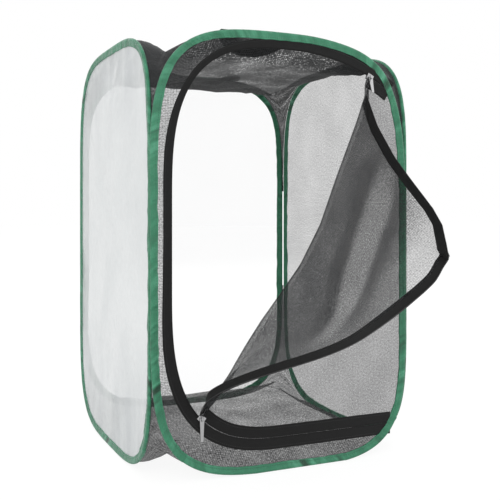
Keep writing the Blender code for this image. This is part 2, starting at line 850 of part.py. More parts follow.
def make_corner_leaf(zipper, door, paints):
    """Make the upper corner of the door, which droops over the large leaf."""
    pivot = door.crease_place()[0]
    line = zipper.netting_edge()
    outward = Vector((-zipper.crease.y, zipper.crease.x)) * crease_sign(zipper)
    spot, index = crossing(line, zipper.top, zipper.crease, True)
    reach = (spot - zipper.top).length
    start = zipper.top + outward * (CLEARANCE / 2)
    first = line_of(start, zipper.crease, PULL_REACH, reach - SLIDER_REACH, DOOR_STEPS // 2)
    arc = [point for point in line[:index] if (point - zipper.top).length > PULL_REACH]
    arc = [point for point in arc if (point - spot).length > SLIDER_REACH]
    second = resampled(arc, DOOR_STEPS // 2)
    grid = between(first, second, CORNER_ROWS)
    leaf("door_mesh_corner", grid, door.corner, lambda point: 0, paints["black_mesh"], pivot)
    outer, inner = clipped_strip(zipper, CLEARANCE / 2, TAPE_WIDTH, True)
    low, high = tape_layer()
    strip("door_zip_tape_corner", outer, inner, 1, low, high, door.corner, paints["black_tape"], pivot)
    low, high = coil_layer()
    outer, inner = coil_lines(zipper, True)
    strip("door_zip_coil_corner", outer, inner, 1, low, high, door.corner, paints["black_coil"], pivot)


def part_of(line, first, last):
    """The stretch of an evenly stepped line between two shares of its length."""
    steps = len(line) - 1
    points = [point_at(line, first * steps)]
    points += [line[index] for index in range(steps + 1) if first * steps < index < last * steps]
    return points + [point_at(line, last * steps)]


def point_at(line, place):
    """A point of a line at a place counted in steps."""
    index = min(int(place), len(line) - 2)
    return line[index].lerp(line[index + 1], place - index)


def coil_lines(zipper, corner_side):
    """The two edges of the door's coil on one leaf."""
    total = lengths_along(zipper.dense["door"])[-1]
    reach = SLIDER_REACH / total
    if corner_side:
        first, last = PULL_REACH / total, CREASE_SHARE - reach
    else:
        first, last = CREASE_SHARE + reach, 1 - reach
    edges = []
    for offset in (-COIL_OFFSET, -COIL_OFFSET - COIL_WIDTH):
        line = resampled(zipper.beside("door", offset), DOOR_STEPS)
        edges.append(part_of(line, first, last))
    return edges


# Roof and floor
def arch(half, depth, start, stop, centre, steps):
    """The upper or lower arch of one loop, moved inwards."""
    points = power_corner(half, CORNER_HEIGHT, LOOP_POWER, start, stop, steps, centre)
    middle = Vector((0, centre))
    return [point - (point - middle).normalized() * depth for point in points]


def cover_grid(upper):
    """A soft sheet stretched over the four upper or lower arches."""
    count = ROOF_STEPS
    centre = CAGE_HEIGHT - CORNER_HEIGHT if upper else CORNER_HEIGHT
    start, stop = (180, 0) if upper else (180, 360)
    eta = -HALF_BEAD - CLEARANCE - MESH_THICKNESS
    along_x = arch(LOOP_HALF_X, HALF_BEAD, start, stop, centre, count)
    along_y = arch(LOOP_HALF_Y, HALF_BEAD, start, stop, centre, count)
    grid = [[Vector((0, 0, centre)) for _ in range(count + 1)] for _ in range(count + 1)]
    for step in range(count + 1):
        grid[step][0] = on_front(along_x[step], eta)
        grid[step][count] = on_back(along_x[step], eta)
        grid[0][step] = on_left(along_y[step], eta)
        grid[count][step] = on_right(along_y[step], eta)
    for i, j in ((0, 0), (0, count), (count, 0), (count, count)):
        x = math.copysign(HINGE_X - HALF_BEAD, i - count / 2)
        y = math.copysign(HINGE_Y - HALF_BEAD, j - count / 2)
        grid[i][j] = Vector((x, y, centre))
    fill_grid(grid, count)
    sign = -1 if upper else 1
    for i in range(1, count):
        for j in range(1, count):
            dip = math.sin(math.pi * i / count) * math.sin(math.pi * j / count)
            grid[i][j].z += sign * CORNER_HEIGHT * ROOF_SAG_SHARE * dip
    return grid


def fill_grid(grid, count):
    """Relax the inner points until each sits between its neighbours."""
    for i in range(1, count):
        for j in range(1, count):
            across = grid[0][j].lerp(grid[count][j], i / count)
            along = grid[i][0].lerp(grid[i][count], j / count)
            grid[i][j] = (across + along) / 2
    for _ in range(RELAX_ROUNDS):
        for i in range(1, count):
            for j in range(1, count):
                total = grid[i - 1][j] + grid[i + 1][j] + grid[i][j - 1] + grid[i][j + 1]
                grid[i][j] = total / 4


def grid_normals(grid):
    """Unit normals of a grid of points."""
    rows = len(grid)
    cols = len(grid[0])
    normals = []
    for i in range(rows):
        line = []
        for j in range(cols):
            run = grid[min(i + 1, rows - 1)][j] - grid[max(i - 1, 0)][j]
            rise = grid[i][min(j + 1, cols - 1)] - grid[i][max(j - 1, 0)]
            line.append(run.cross(rise).normalized())
        normals.append(line)
    return normals


def make_cover(name, upper, paints):
    """Make the roof or the floor netting and give its grid."""
    grid = cover_grid(upper)
    normals = grid_normals(grid)
    half = MESH_THICKNESS / 2
    near = []
    far = []
    for points, line in zip(grid, normals):
        near.append([point + normal * half for point, normal in zip(points, line)])
        far.append([point - normal * half for point, normal in zip(points, line)])
    slab(name, near, far, paints["black_mesh"], Vector((0, 0, 0)))
    return grid


def cover_spots(grid):
    """Evenly spread points of a soft sheet."""
    shares = [step / SPOT_STEPS for step in range(SPOT_STEPS + 1)]
    spots = []
    for i in range(len(grid) - 1):
        for j in range(len(grid) - 1):
            for a in shares:
                low = grid[i][j].lerp(grid[i + 1][j], a)
                high = grid[i][j + 1].lerp(grid[i + 1][j + 1], a)
                spots += [low.lerp(high, b) for b in shares]
    return spots


def roof_height(spots, x, y):
    """Greatest height of the roof close to a spot."""
    near = [spot.z for spot in spots if abs(spot.x - x) < ROOF_REACH and abs(spot.y - y) < ROOF_REACH]
    return max(near)


# Carrying handles
def make_handle(name, span, shift, facing, spots, paints):
    """Make one webbing handle, fallen back over the roof from the top of its wall."""
    wall = HALF_DEPTH - BEAD_THICKNESS - CLEARANCE
    wide = (span - STRAP_WIDTH) / 2
    rings = []
    for step in range(STRAP_STEPS + 1):
        angle = math.pi * step / STRAP_STEPS
        run = Vector((wide * math.sin(angle), facing * HANDLE_REACH * math.cos(angle), 0)).normalized()
        level = Vector((run.y, -run.x, 0))
        stand = math.radians(STRAP_STAND) * smooth_share(math.sin(angle))
        width = level * math.cos(stand) + Vector((0, 0, math.sin(stand)))
        thick = run.cross(width) * (STRAP_THICKNESS / 2)
        x = shift - wide * math.cos(angle)
        y = -facing * (wall - HANDLE_REACH * math.sin(angle))
        floor = roof_height(spots, x, y) + MESH_THICKNESS + CLEARANCE
        rise = (STRAP_WIDTH * math.sin(stand) + STRAP_THICKNESS * math.cos(stand)) / 2
        middle = Vector((x, y, floor + rise))
        side = width * (STRAP_WIDTH / 2)
        rings.append([middle - side - thick, middle - side + thick,
                      middle + side + thick, middle + side - thick])
    pivot = Vector((shift, -facing * wall, rings[0][0].z))
    lofted(name, rings, False, paints["black_webbing"], pivot, False)


# Sliders and pulls
def slider_frame(point, direction):
    """A rule that places slider points: along the zip, across it, and outwards."""
    across = Vector((direction.y, -direction.x))

    def place(spot):
        flat = point + direction * spot.x + across * spot.y
        return on_front(flat, spot.z)

    return place


def bridge_boxes(point, low):
    """Two legs and a bar that hold the pull's top rim, standing on the slider's outer plate."""
    place = slider_frame(point, Vector((0, 1)))
    half = BRIDGE_BAR * BRIDGE_WIDTH_SHARE
    near = PULL_RIM + CLEARANCE
    far = near + BRIDGE_BAR
    top = low + PULL_THICKNESS + CLEARANCE * 2 + BRIDGE_BAR
    root = low - SLIDER_PLATE / 2
    return [
        ((near, -half, root), (far, half, top), place),
        ((-far, -half, root), (-near, half, top), place),
        ((-far, -half, top - BRIDGE_BAR), (far, half, top), place),
    ]


def make_slider(name, point, direction, paints):
    """Make one zip slider, its plates outside and inside the tape, with a bridge for the pull."""
    half = SLIDER_LENGTH / 2
    wide = SLIDER_WIDTH / 2
    outside = HALF_STACK + CLEARANCE
    inside_face = coil_layer()[0] - CLEARANCE
    across = sorted((direction[1] * POST_SHIFT, direction[1] * (POST_SHIFT + SLIDER_POST)))
    place = slider_frame(point, direction[0])
    middle = SLIDER_PLATE / 2
    boxes = [
        ((-half, -wide, outside), (half, wide, outside + SLIDER_PLATE), place),
        ((-half, -wide, inside_face - SLIDER_PLATE), (half, wide, inside_face), place),
        ((half - SLIDER_POST, across[0], inside_face - middle),
         (half - middle, across[1], outside + middle), place),
    ]
    boxes += bridge_boxes(point, outside + SLIDER_PLATE)
    joined_boxes(name, boxes, paints["slider_metal"], Vector((0, 0, 0)))


def make_pull(name, point, length, lean, paints):
    """Make one flat pull that hangs from a slider's bridge, leant out by an angle."""
    eta = HALF_STACK + SLIDER_PLATE + CLEARANCE * 2 + PULL_THICKNESS / 2
    pivot = on_front(point, eta)
    rim = PULL_RIM / 2
    wide = PULL_WIDTH / 2
    hole = wide - PULL_RIM
    drop = PULL_RIM + BRIDGE_BAR + CLEARANCE * 2 + PULL_RIM
    outer = [(-wide, rim), (wide, rim), (wide, -drop), (hole, -length), (-hole, -length), (-wide, -drop)]
    low = -drop + rim
    inner = [(-hole, -rim), (hole, -rim), (hole, low + rim), (rim, low), (-rim, low), (-hole, low + rim)]
    half = PULL_THICKNESS / 2
    swing = turned(pivot, Vector((-1, 0, 0)), lean)
    rings = []
    for there, here in zip(outer, inner):
        far = Vector(there) + point
        near = Vector(here) + point
        ring = [(far, eta + half), (far, eta - half), (near, eta - half), (near, eta + half)]
        rings.append([swing @ on_front(spot, level) for spot, level in ring])
    lofted(name, rings, True, paints["slider_metal"], pivot, False)


def main():
    """Build every piece of the cage."""
    clear_scene()
    paints = make_materials()
    corners = {
        "front": Vector((0, 0, 0)),
        "left": Vector((-HINGE_X, -HINGE_Y, 0)),
        "right": Vector((HINGE_X, -HINGE_Y, 0)),
        "back": Vector((HINGE_X, HINGE_Y, 0)),
    }
    make_loop("front", LOOP_HALF_X, on_front, corners["front"], paints)
    make_loop("left", LOOP_HALF_Y, on_left, corners["left"], paints)
    make_loop("right", LOOP_HALF_Y, on_right, corners["right"], paints)
    make_loop("back", LOOP_HALF_X, on_back, corners["back"], paints)
    make_walls(paints, corners)
    rings = {
        "slot": inset_ring(LOOP_HALF_X, SLOT_END, CORNER_STEPS),
        "slot_near": inset_ring(LOOP_HALF_X, SLOT_END + BEAD_THICKNESS / 2, CORNER_STEPS),
        "lip": inset_ring(LOOP_HALF_X, BINDING_WIDTH + CLEARANCE, CORNER_STEPS),
    }
    zipper = Zip()
    door = Door(zipper)
    make_front_wall(zipper, rings, paints)
    make_main_leaf(zipper, door, paints)
    make_corner_leaf(zipper, door, paints)
    roof = make_cover("roof_mesh", True, paints)
    make_cover("floor_mesh", False, paints)
    spots = cover_spots(roof)
    make_handle("front_handle", HANDLE_SPAN, -HANDLE_SHIFT, 1, spots, paints)
    make_handle("back_handle", BACK_HANDLE_SPAN, 0, -1, spots, paints)
    upper = zipper.dense["upper"]
    lower = zipper.dense["lower"]
    make_slider("upper_slider", zipper.top, ((upper[0] - upper[4]).normalized(), -1), paints)
    make_slider("lower_slider", zipper.low, ((lower[0] - lower[4]).normalized(), 1), paints)
    make_pull("upper_pull", zipper.top, PULL_LENGTH, PULL_LEAN, paints)
    make_pull("lower_pull", zipper.low, LOWER_PULL_LENGTH, 0, paints)


main()
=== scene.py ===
import math

import bmesh
import bpy
import numpy as np
from mathutils import Matrix, Vector, noise


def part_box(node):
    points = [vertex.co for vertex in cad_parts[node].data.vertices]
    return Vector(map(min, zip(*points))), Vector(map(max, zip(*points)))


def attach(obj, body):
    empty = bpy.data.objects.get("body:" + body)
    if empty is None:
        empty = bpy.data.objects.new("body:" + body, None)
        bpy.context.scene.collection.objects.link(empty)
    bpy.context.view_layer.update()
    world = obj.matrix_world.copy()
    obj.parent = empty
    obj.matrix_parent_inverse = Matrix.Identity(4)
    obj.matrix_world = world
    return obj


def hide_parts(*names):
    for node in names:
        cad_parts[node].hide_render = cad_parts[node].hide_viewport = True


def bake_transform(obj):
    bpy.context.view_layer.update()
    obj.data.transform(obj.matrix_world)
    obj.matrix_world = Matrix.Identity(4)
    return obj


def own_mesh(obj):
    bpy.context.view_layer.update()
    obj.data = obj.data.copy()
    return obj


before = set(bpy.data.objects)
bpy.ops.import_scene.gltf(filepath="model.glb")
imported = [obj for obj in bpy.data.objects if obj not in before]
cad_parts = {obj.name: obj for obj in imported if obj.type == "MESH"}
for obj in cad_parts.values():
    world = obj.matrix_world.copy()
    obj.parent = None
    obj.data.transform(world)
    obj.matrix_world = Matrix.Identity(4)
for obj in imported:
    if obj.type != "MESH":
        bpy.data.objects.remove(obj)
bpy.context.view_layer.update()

# A pop-up insect cage: four green-bound wire loops, netting and film walls, a zipped door folded
# open, and two webbing handles. All sizes are in metres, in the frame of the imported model.

print("frame loaded")

cage = {
    "half": 0.19455,        # half the width of one loop
    "height": 0.6,
    "corner": 0.21,         # height of a loop's rounded corner
    "power": 3.86,          # how square that corner is
    "wall": 0.1975,         # how far a wall's middle plane stands from the centre
    "beadDepth": 0.005,
    "wire": 0.0014,         # the spring wire's radius
    "hem": 0.006,           # how deep the walls' edges lie inside the bindings
    "bindingWidth": 0.013,
    "clear": 0.0002,        # least height of the bowed loop over the ground
    # how far the front loop, pulled by its door, bows out from that shape, by share of its length
    # from the middle of its right side upwards
    "bow": [(0, 0), (0.035, -0.003), (0.08, -0.0110), (0.117, -0.0105), (0.145, -0.0065), (0.18, 0),
            (0.21, 0.0006), (0.25, 0.0004), (0.29, 0.0002), (0.36, 0.0055), (0.52, 0.0045), (0.57, 0.002),
            (0.615, -0.002), (0.67, 0), (0.75, 0.003),
            (0.79, 0.0035), (0.83, 0.0008), (0.87, 0), (1, 0)],
}

zipper = {
    "half": 0.16955,
    "fall": 0.26,           # half width of the long curve at the top right
    "top": 0.577,
    "bottom": 0.046,
    "power": 3.0,
    "topSlider": 0.132,
    "lowSlider": 0.766,
    "gap": 0.00015,         # from the zip's line to the edge of each tape
    "tape": 0.016,
    "tapeLayer": (0.0001, 0.0006),
    "coil": (0.0002, 0.0024),
    "coilLayer": (-0.0012, -0.0002),
    "pitch": 0.0015,        # of the coil's turns
    "free": 0.006,          # how far the door's pieces stop short of a stretch's end
}

door = {
    "foldDepth": 0.00075,   # the fold lies this far outside the wall's middle plane
    "open": 166.0,          # how far the leaf is turned back, in degrees
    "corner": 120.0,        # how far its upper corner is bent over again
    "creaseShare": 12 / 28, # where along its zip the crease ends
    "standFrom": 0.250,     # past this place along the fold the leaf lies back less and less
    "standTo": 0.700,
}


# ---- flat lines, as arrays of (along, up)
def cornerArc(half, rise, power, start, stop, steps, centre):
    angle = np.radians(np.linspace(start, stop, steps + 1))
    cosine, sine = np.cos(angle), np.sin(angle)
    reach = 1 / (np.abs(cosine) ** power + np.abs(sine) ** power) ** (1 / power)
    return np.stack([half * reach * cosine, centre + rise * reach * sine], 1)


def loopLine(steps=120):
    low, high = cage["corner"], cage["height"] - cage["corner"]
    parts = []
    for number, centre in enumerate((high, high, low, low)):
        first = 90 * number
        arc = cornerArc(cage["half"], cage["corner"], cage["power"], first, first + 90, steps, centre)
        parts.append(arc if number in (0, 2) else arc[1:])
    return np.concatenate(parts)[:-1]


def runOf(line):
    steps = np.linalg.norm(np.diff(line, axis=0), axis=1)
    return np.concatenate([[0], np.cumsum(steps)])


def between(line, first, last, count):
    run = runOf(line)
    want = np.linspace(first, last, count + 1)
    return np.stack([np.interp(want, run, line[:, k]) for k in range(line.shape[1])], 1)


def evenly(line, count):
    return between(line, 0, runOf(line)[-1], count)


def ringOf(line):
    return np.concatenate([line, line[:1]])


def nearest(points, rim):
    # for each place, the number of the rim's nearest point and the distance to it
    gaps = np.linalg.norm(points[:, None, :] - rim[None, :, :], axis=2)
    return gaps.argmin(1), gaps.min(1)


def leftOf(line, closed=False):
    if closed:
        run = np.roll(line, -1, 0) - np.roll(line, 1, 0)
    else:
        run = np.gradient(line, axis=0)
    run /= np.linalg.norm(run, axis=1)[:, None]
    return np.stack([-run[:, 1], run[:, 0]], 1)


def through(knots, reach=0.5):
    # a soft line through a few (place, value) pairs, places from nought to one
    place = np.linspace(-0.2, 1.2, 701)
    value = np.interp(place, *np.array(knots).T)
    window = np.hanning(int(reach * 100))
    value = np.convolve(np.pad(value, len(window) // 2, mode="edge"), window / window.sum(), "valid")
    return lambda share: np.interp(share, place, value[:len(place)])


fineSteps, ringSteps = 1600, 880
outline = evenly(ringOf(loopLine()), fineSteps)[:-1]
outlineRing = evenly(ringOf(outline), ringSteps)[:-1]
bowShift = -leftOf(outline, True) * through(cage["bow"], 0.25)(np.arange(fineSteps) / fineSteps)[:, None]
bowShift[:, 1] = np.maximum(bowShift[:, 1], cage["clear"] - outline[:, 1])


def bowed(points):
    # a place on a plain loop, moved to the same place on the front loop
    return points + bowShift[nearest(points, outline)[0]]


frontOutline = outline + bowShift
frontRing = bowed(outlineRing)


frontRim = frontRing + leftOf(frontRing, True) * cage["hem"]


def zipRuns():
    rise = cage["corner"]
    high, low = zipper["top"] - rise, zipper["bottom"] + rise
    full = cornerArc(zipper["fall"], rise, 2, 1, 90, 400, high)
    split = zipper["topSlider"]
    top = np.array([[split, high + rise * math.sqrt(1 - (split / zipper["fall"]) ** 2)]])
    upper = np.concatenate([top, full[full[:, 0] > split][::-1]])
    side = cornerArc(zipper["half"], rise, zipper["power"], 90, 180, 400, high)[1:]
    under = cornerArc(zipper["half"], rise, zipper["power"], 180, 270, 400, low)
    stop = -zipper["half"] * zipper["lowSlider"]
    rest = under[under[:, 0] >= stop]
    opened = np.concatenate([top, full[full[:, 0] < split], side, under[under[:, 0] < stop], rest[:1]])
    lower = np.concatenate([rest, [[cage["half"] + cage["bindingWidth"], zipper["bottom"]]]])
    return [evenly(line, int(runOf(line)[-1] / 0.0005)) for line in (upper, opened, lower)]


upperRun, doorRun, lowerRun = zipRuns()
topPoint, lowPoint = doorRun[0], doorRun[-1]
chord = (lowPoint - topPoint) / np.linalg.norm(lowPoint - topPoint)
chordLength = float(np.linalg.norm(lowPoint - topPoint))
rightward = np.array([-chord[1], chord[0]])      # square to the fold, towards the right
turnPoint = evenly(doorRun, 28)[12]
crease = (turnPoint - topPoint) / np.linalg.norm(turnPoint - topPoint)
creaseLength = float(np.linalg.norm(turnPoint - topPoint))
creaseOut = np.array([crease[1], -crease[0]])
creaseOut = creaseOut * math.copysign(1, creaseOut[1])


wholeRun = np.concatenate([upperRun[:0:-1], doorRun, lowerRun[1:]])
wholeOut = -leftOf(wholeRun)


# ---- places on the four walls
def onWall(side):
    sign = -1 if side in ("front", "left") else 1

    def place(points, eta):
        along, up = points[..., 0], points[..., 1]
        away = np.broadcast_to(sign * (cage["wall"] + eta), along.shape)
        return np.stack([along, away, up] if side in ("front", "back") else [away, along, up], -1)

    return place


def rotation(pivot, axis, degrees):
    turn = np.array(Matrix.Rotation(math.radians(degrees), 3, Vector(axis)))
    pivot = np.array(pivot)
    return lambda points: (points - pivot) @ turn.T + pivot


def rippled(points, scale, seed):
    flat = points.reshape(-1, 2) * scale
    found = [noise.noise(Vector((x, y, seed))) for x, y in flat]
    return np.array(found).reshape(points.shape[:-1])


def smooth(value):
    share = np.clip(value, 0, 1)
    return share * share * (3 - 2 * share)


# ---- the open door: a leaf hinged on the straight fold, and its corner bent over a crease
foldStart = np.array([topPoint[0], -cage["wall"] - door["foldDepth"], topPoint[1]])
foldAlong = np.array([chord[0], 0, chord[1]])
foldRight = np.array([rightward[0], 0, rightward[1]])
outwards = np.array([0, -1.0, 0])
leafTurn = rotation(foldStart, -foldAlong, door["open"])
leafFront = np.cross(foldAlong, leafTurn(foldStart - foldRight) - foldStart)   # faces the viewer
creaseTurn = rotation((0, 0, 0), (crease[0], 0, crease[1]), door["corner"])
creaseStart = leafTurn(np.array([topPoint[0], -cage["wall"] + door["foldDepth"], topPoint[1]]))


def openedVector(vector):
    return leafTurn(foldStart + vector) - foldStart


creaseOpen = openedVector(np.array([crease[0], 0, crease[1]]))
cornerOut = openedVector(creaseTurn(np.array([creaseOut[0], 0, creaseOut[1]])))
cornerBack = openedVector(creaseTurn(np.array([0, 1.0, 0])))


def onLeaf(points, eta, lift=0.0):
    # a door point as it hangs open; eta is its layer, lift the cloth's own wave
    run = points - topPoint
    along, reach = run @ chord, -(run @ rightward)
    near = smooth((door["standTo"] - along) / (door["standTo"] - door["standFrom"]))
    turned = np.radians(door["open"] * near)
    cosine, sine = np.cos(turned)[..., None], np.sin(turned)[..., None]
    towards = -foldRight * cosine + outwards * sine
    layer = foldRight * sine + outwards * cosine
    height = np.broadcast_to(eta - door["foldDepth"] + lift, along.shape)[..., None]
    return foldStart + foldAlong * along[..., None] + towards * reach[..., None] + layer * height


def onCorner(place, reach, back):
    # a point of the corner: along the crease, out from it, and off its plane
    return (creaseStart + creaseOpen * np.asarray(place)[..., None] + cornerOut * np.asarray(reach)[..., None]
            + cornerBack * np.asarray(back)[..., None])


print("lines ready")


# ---- meshes
def clothMesh(name, grid, uv, closed=False, flip=False, smoothed=True):
    # a grid of points as a mesh with its own flat pattern in metres; closed joins its columns round
    rows, cols = grid.shape[:2]
    wide = cols if closed else cols - 1
    i, j = (part.ravel() for part in np.meshgrid(np.arange(rows - 1), np.arange(wide), indexing="ij"))
    after = (j + 1) % cols
    quads = np.stack([i * cols + j, i * cols + after, (i + 1) * cols + after, (i + 1) * cols + j], 1)
    span = uv.shape[1]
    corners = np.stack([i * span + j, i * span + j + 1, (i + 1) * span + j + 1, (i + 1) * span + j], 1)
    if flip:
        quads, corners = quads[:, ::-1], corners[:, ::-1]
    mesh = bpy.data.meshes.new(name)
    mesh.from_pydata(grid.reshape(-1, 3).tolist(), [], quads.tolist())
    layer = mesh.uv_layers.new(name="cloth")
    layer.data.foreach_set("uv", uv.reshape(-1, 2)[corners.ravel()].astype(np.float32).ravel())
    mesh.polygons.foreach_set("use_smooth", [smoothed] * len(mesh.polygons))
    mesh.update()
    made = bpy.data.objects.new(name, mesh)
    bpy.context.scene.collection.objects.link(made)
    return made


def tubeMesh(name, grid, run, across, smoothed=True, welded=False):
    # rings of points as a tube: its ends are capped, or welded where they meet
    uv = np.stack(np.meshgrid(run, across, indexing="ij"), -1)
    made = clothMesh(name, grid, uv, closed=True, smoothed=smoothed)
    shell = bmesh.new()
    shell.from_mesh(made.data)
    if welded:
        bmesh.ops.remove_doubles(shell, verts=shell.verts, dist=1e-6)
    rims = [edge for edge in shell.edges if edge.is_boundary]
    if rims:
        bmesh.ops.holes_fill(shell, edges=rims, sides=0)
    bmesh.ops.recalc_face_normals(shell, faces=shell.faces)
    shell.to_mesh(made.data)
    shell.free()
    return made


def finish(made, body, material, slot, *nodes):
    made.data.materials.append(materials[material])
    if body:
        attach(made, body)
    if nodes:
        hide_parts(*nodes)


# ---- shader maths
class Signal:
    def __init__(self, recipe, socket):
        self.recipe = recipe
        self.socket = socket

    def maths(self, operation, *values):
        return self.recipe.node("ShaderNodeMath", {"operation": operation}, dict(enumerate((self, *values))))

    def __add__(self, other):
        return self.maths("ADD", other)

    def __sub__(self, other):
        return self.maths("SUBTRACT", other)

    def __rsub__(self, other):
        return self.recipe.node("ShaderNodeMath", {"operation": "SUBTRACT"}, {0: other, 1: self})

    def __mul__(self, other):
        return self.maths("MULTIPLY", other)

    def __pow__(self, other):
        return self.maths("POWER", other)

    __radd__ = __add__
    __rmul__ = __mul__


class Recipe:
    def __init__(self, name):
        self.material = bpy.data.materials.new(name)
        self.material.use_nodes = True
        self.tree = self.material.node_tree
        self.shader = self.tree.nodes["Principled BSDF"]

    def node(self, kind, settings=None, values=None, output=0):
        made = self.tree.nodes.new(kind)
        for key, value in (settings or {}).items():
            setattr(made, key, value)
        for key, value in (values or {}).items():
            self.feed(made.inputs[key], value)
        return Signal(self, made.outputs[output])

    def feed(self, socket, value):
        if isinstance(value, Signal):
            self.tree.links.new(value.socket, socket)
        else:
            socket.default_value = value

    def set(self, **values):
        for key, value in values.items():
            self.feed(self.shader.inputs[key.replace("_", " ")], value)

    def cloth(self):
        flat = self.node("ShaderNodeUVMap", {"uv_map": "cloth"})
        parts = self.tree.nodes.new("ShaderNodeSeparateXYZ")
        self.feed(parts.inputs[0], flat)
        return flat, Signal(self, parts.outputs[0]), Signal(self, parts.outputs[1])

    def noise(self, where, scale, detail=2.0, roughness=0.5, dimensions="3D"):
        return self.node("ShaderNodeTexNoise", {"noise_dimensions": dimensions},
                         {"Vector": where, "Scale": scale, "Detail": detail, "Roughness": roughness}, "Fac")

    def spread(self, value, low, high, first=0.0, last=1.0):
        return self.node("ShaderNodeMapRange", None, {"Value": value, "From Min": low, "From Max": high,
                                                      "To Min": first, "To Max": last})

    def scaled(self, where, *scales):
        return self.node("ShaderNodeVectorMath", {"operation": "MULTIPLY"}, {0: where, 1: scales})

    def mix(self, share, first, second):
        made = self.tree.nodes.new("ShaderNodeMix")
        made.data_type = "RGBA"
        self.feed(made.inputs[0], share)
        self.feed(made.inputs[6], first)
        self.feed(made.inputs[7], second)
        return Signal(self, made.outputs[2])

    def bump(self, height, distance, strength=1.0):
        values = {"Height": height, "Distance": distance, "Strength": strength}
        return self.node("ShaderNodeBump", None, values, "Normal")

    def wave(self, value, pitch):
        # a smooth ridge from nought to one, once every pitch
        return (value * (2 * math.pi / pitch)).maths("SINE") * 0.5 + 0.5


def netting(name, cover, dense=None, streak=0.0, paintedFoldShade=False, pitch=0.0021):
    # square knitted threads with gaps between; cover is the share of the wall that they hide, dense
    # where it thickens and how much, streak how strongly creases show, and the fold-shade flag whether the mesh
    # carries a painted fold shade, its netting denser on one slope of each wave
    recipe = Recipe(name)
    flat, u, v = recipe.cloth()
    slow = recipe.noise(flat, 16.0, 3.0)
    grain = recipe.spread(recipe.noise(flat, 420.0, 2.0, 0.7), 0.32, 0.68)
    across = recipe.wave(u, pitch) ** 4
    along = recipe.wave(v, pitch) ** 4
    thread = across.maths("MAXIMUM", along)
    much = slow * 0.5 + 0.75
    if dense:
        much = much * recipe.spread(u, dense[0], dense[1], 1.0, dense[2])
    if streak:
        # folds drawn straight from arch to arch, round each corner
        apart = u.maths("ABSOLUTE") + v.maths("ABSOLUTE")
        drawn = recipe.node("ShaderNodeCombineXYZ", None, {0: apart * 95.0, 1: (u - v) * 7.0, 2: (u + v) * 7.0})
        corner = recipe.spread(apart, 0.17, 0.25)
        creases = recipe.mix(corner, recipe.noise(flat, 26.0, 4.0, 0.62), recipe.noise(drawn, 1.0, 4.0, 0.65))
        much = much * (recipe.node("ShaderNodeVectorMath", {"operation": "DOT_PRODUCT"}, {
            0: creases, 1: (1.0, 0.0, 0.0)}, "Value") * (3.2 * streak) + (1 - 1.6 * streak))
    # painted fold shade: denser on one slope of each wave of the leaf, thinner on the other
    if paintedFoldShade:
        much = much * (recipe.node("ShaderNodeAttribute", {"attribute_name": "paintedFoldShade"}, output="Fac") + 1.0)
    alpha = (thread * (0.62 * cover) + grain * (0.7 * cover) + cover * 0.40) * much
    tone = slow * 0.4 + thread * 0.6
    recipe.set(Base_Color=recipe.mix(tone, (0.012, 0.013, 0.014, 1), (0.042, 0.043, 0.045, 1)),
               Roughness=0.72, Alpha=alpha.maths("MINIMUM", 0.97), Normal=recipe.bump(thread, 0.0002),
               Sheen_Weight=0.04, Specular_IOR_Level=0.25)
    return recipe.material


def greenTape(name):
    recipe = Recipe(name)
    flat, u, v = recipe.cloth()
    slow = recipe.noise(flat, 60.0, 4.0)
    broad = recipe.noise(flat, 9.0, 2.0)
    twill = recipe.wave(u + v, 0.0007)
    cross = recipe.wave(u - v, 0.0021)
    gather = recipe.noise(recipe.scaled(flat, 1.0, 0.28, 1.0), 150.0, 3.0, dimensions="2D")
    beat = recipe.wave(u, 0.0034)
    row = (v - 0.0028).maths("ABSOLUTE").maths("LESS_THAN", 0.00035)
    other = (v - 0.0240).maths("ABSOLUTE").maths("LESS_THAN", 0.00035)
    stitch = row.maths("MAXIMUM", other) * beat.maths("GREATER_THAN", 0.35)
    slant = recipe.node("ShaderNodeVectorRotate", {"rotation_type": "Z_AXIS"}, {"Vector": flat, "Angle": 0.5})
    crease = recipe.noise(recipe.scaled(slant, 1.0, 0.2, 1.0), 70.0, 2.0, dimensions="2D")
    busy = recipe.spread(broad, 0.46, 0.66, 0.12)
    # painted shade in the valleys of the slanting creases and a painted highlight on their ridges, in patches
    paintedCreaseShade = recipe.spread(crease, 0.50, 0.34) * busy
    paintedRidgeHighlight = recipe.spread(crease, 0.52, 0.68) * busy
    tint = recipe.mix(slow * 0.6 + twill * 0.25, (0.018, 0.172, 0.088, 1), (0.050, 0.275, 0.145, 1))
    # the colour is darkened by the painted crease shade, then lifted by the painted ridge highlight
    tint = recipe.mix(paintedCreaseShade, tint, (0.003, 0.045, 0.020, 1))
    tint = recipe.mix(paintedRidgeHighlight * 0.85, tint, (0.120, 0.440, 0.270, 1))
    tint = recipe.mix(stitch * 0.6, tint, (0.008, 0.075, 0.038, 1))
    height = crease * 1.4 + gather * 0.75 + slow * 0.15 + twill * 0.04 + cross * 0.02 + stitch * 0.12
    recipe.set(Base_Color=tint, Roughness=slow * 0.2 + 0.38, Normal=recipe.bump(height, 0.0022, 0.9),
               Sheen_Weight=0.2, Sheen_Roughness=0.4)
    return recipe.material


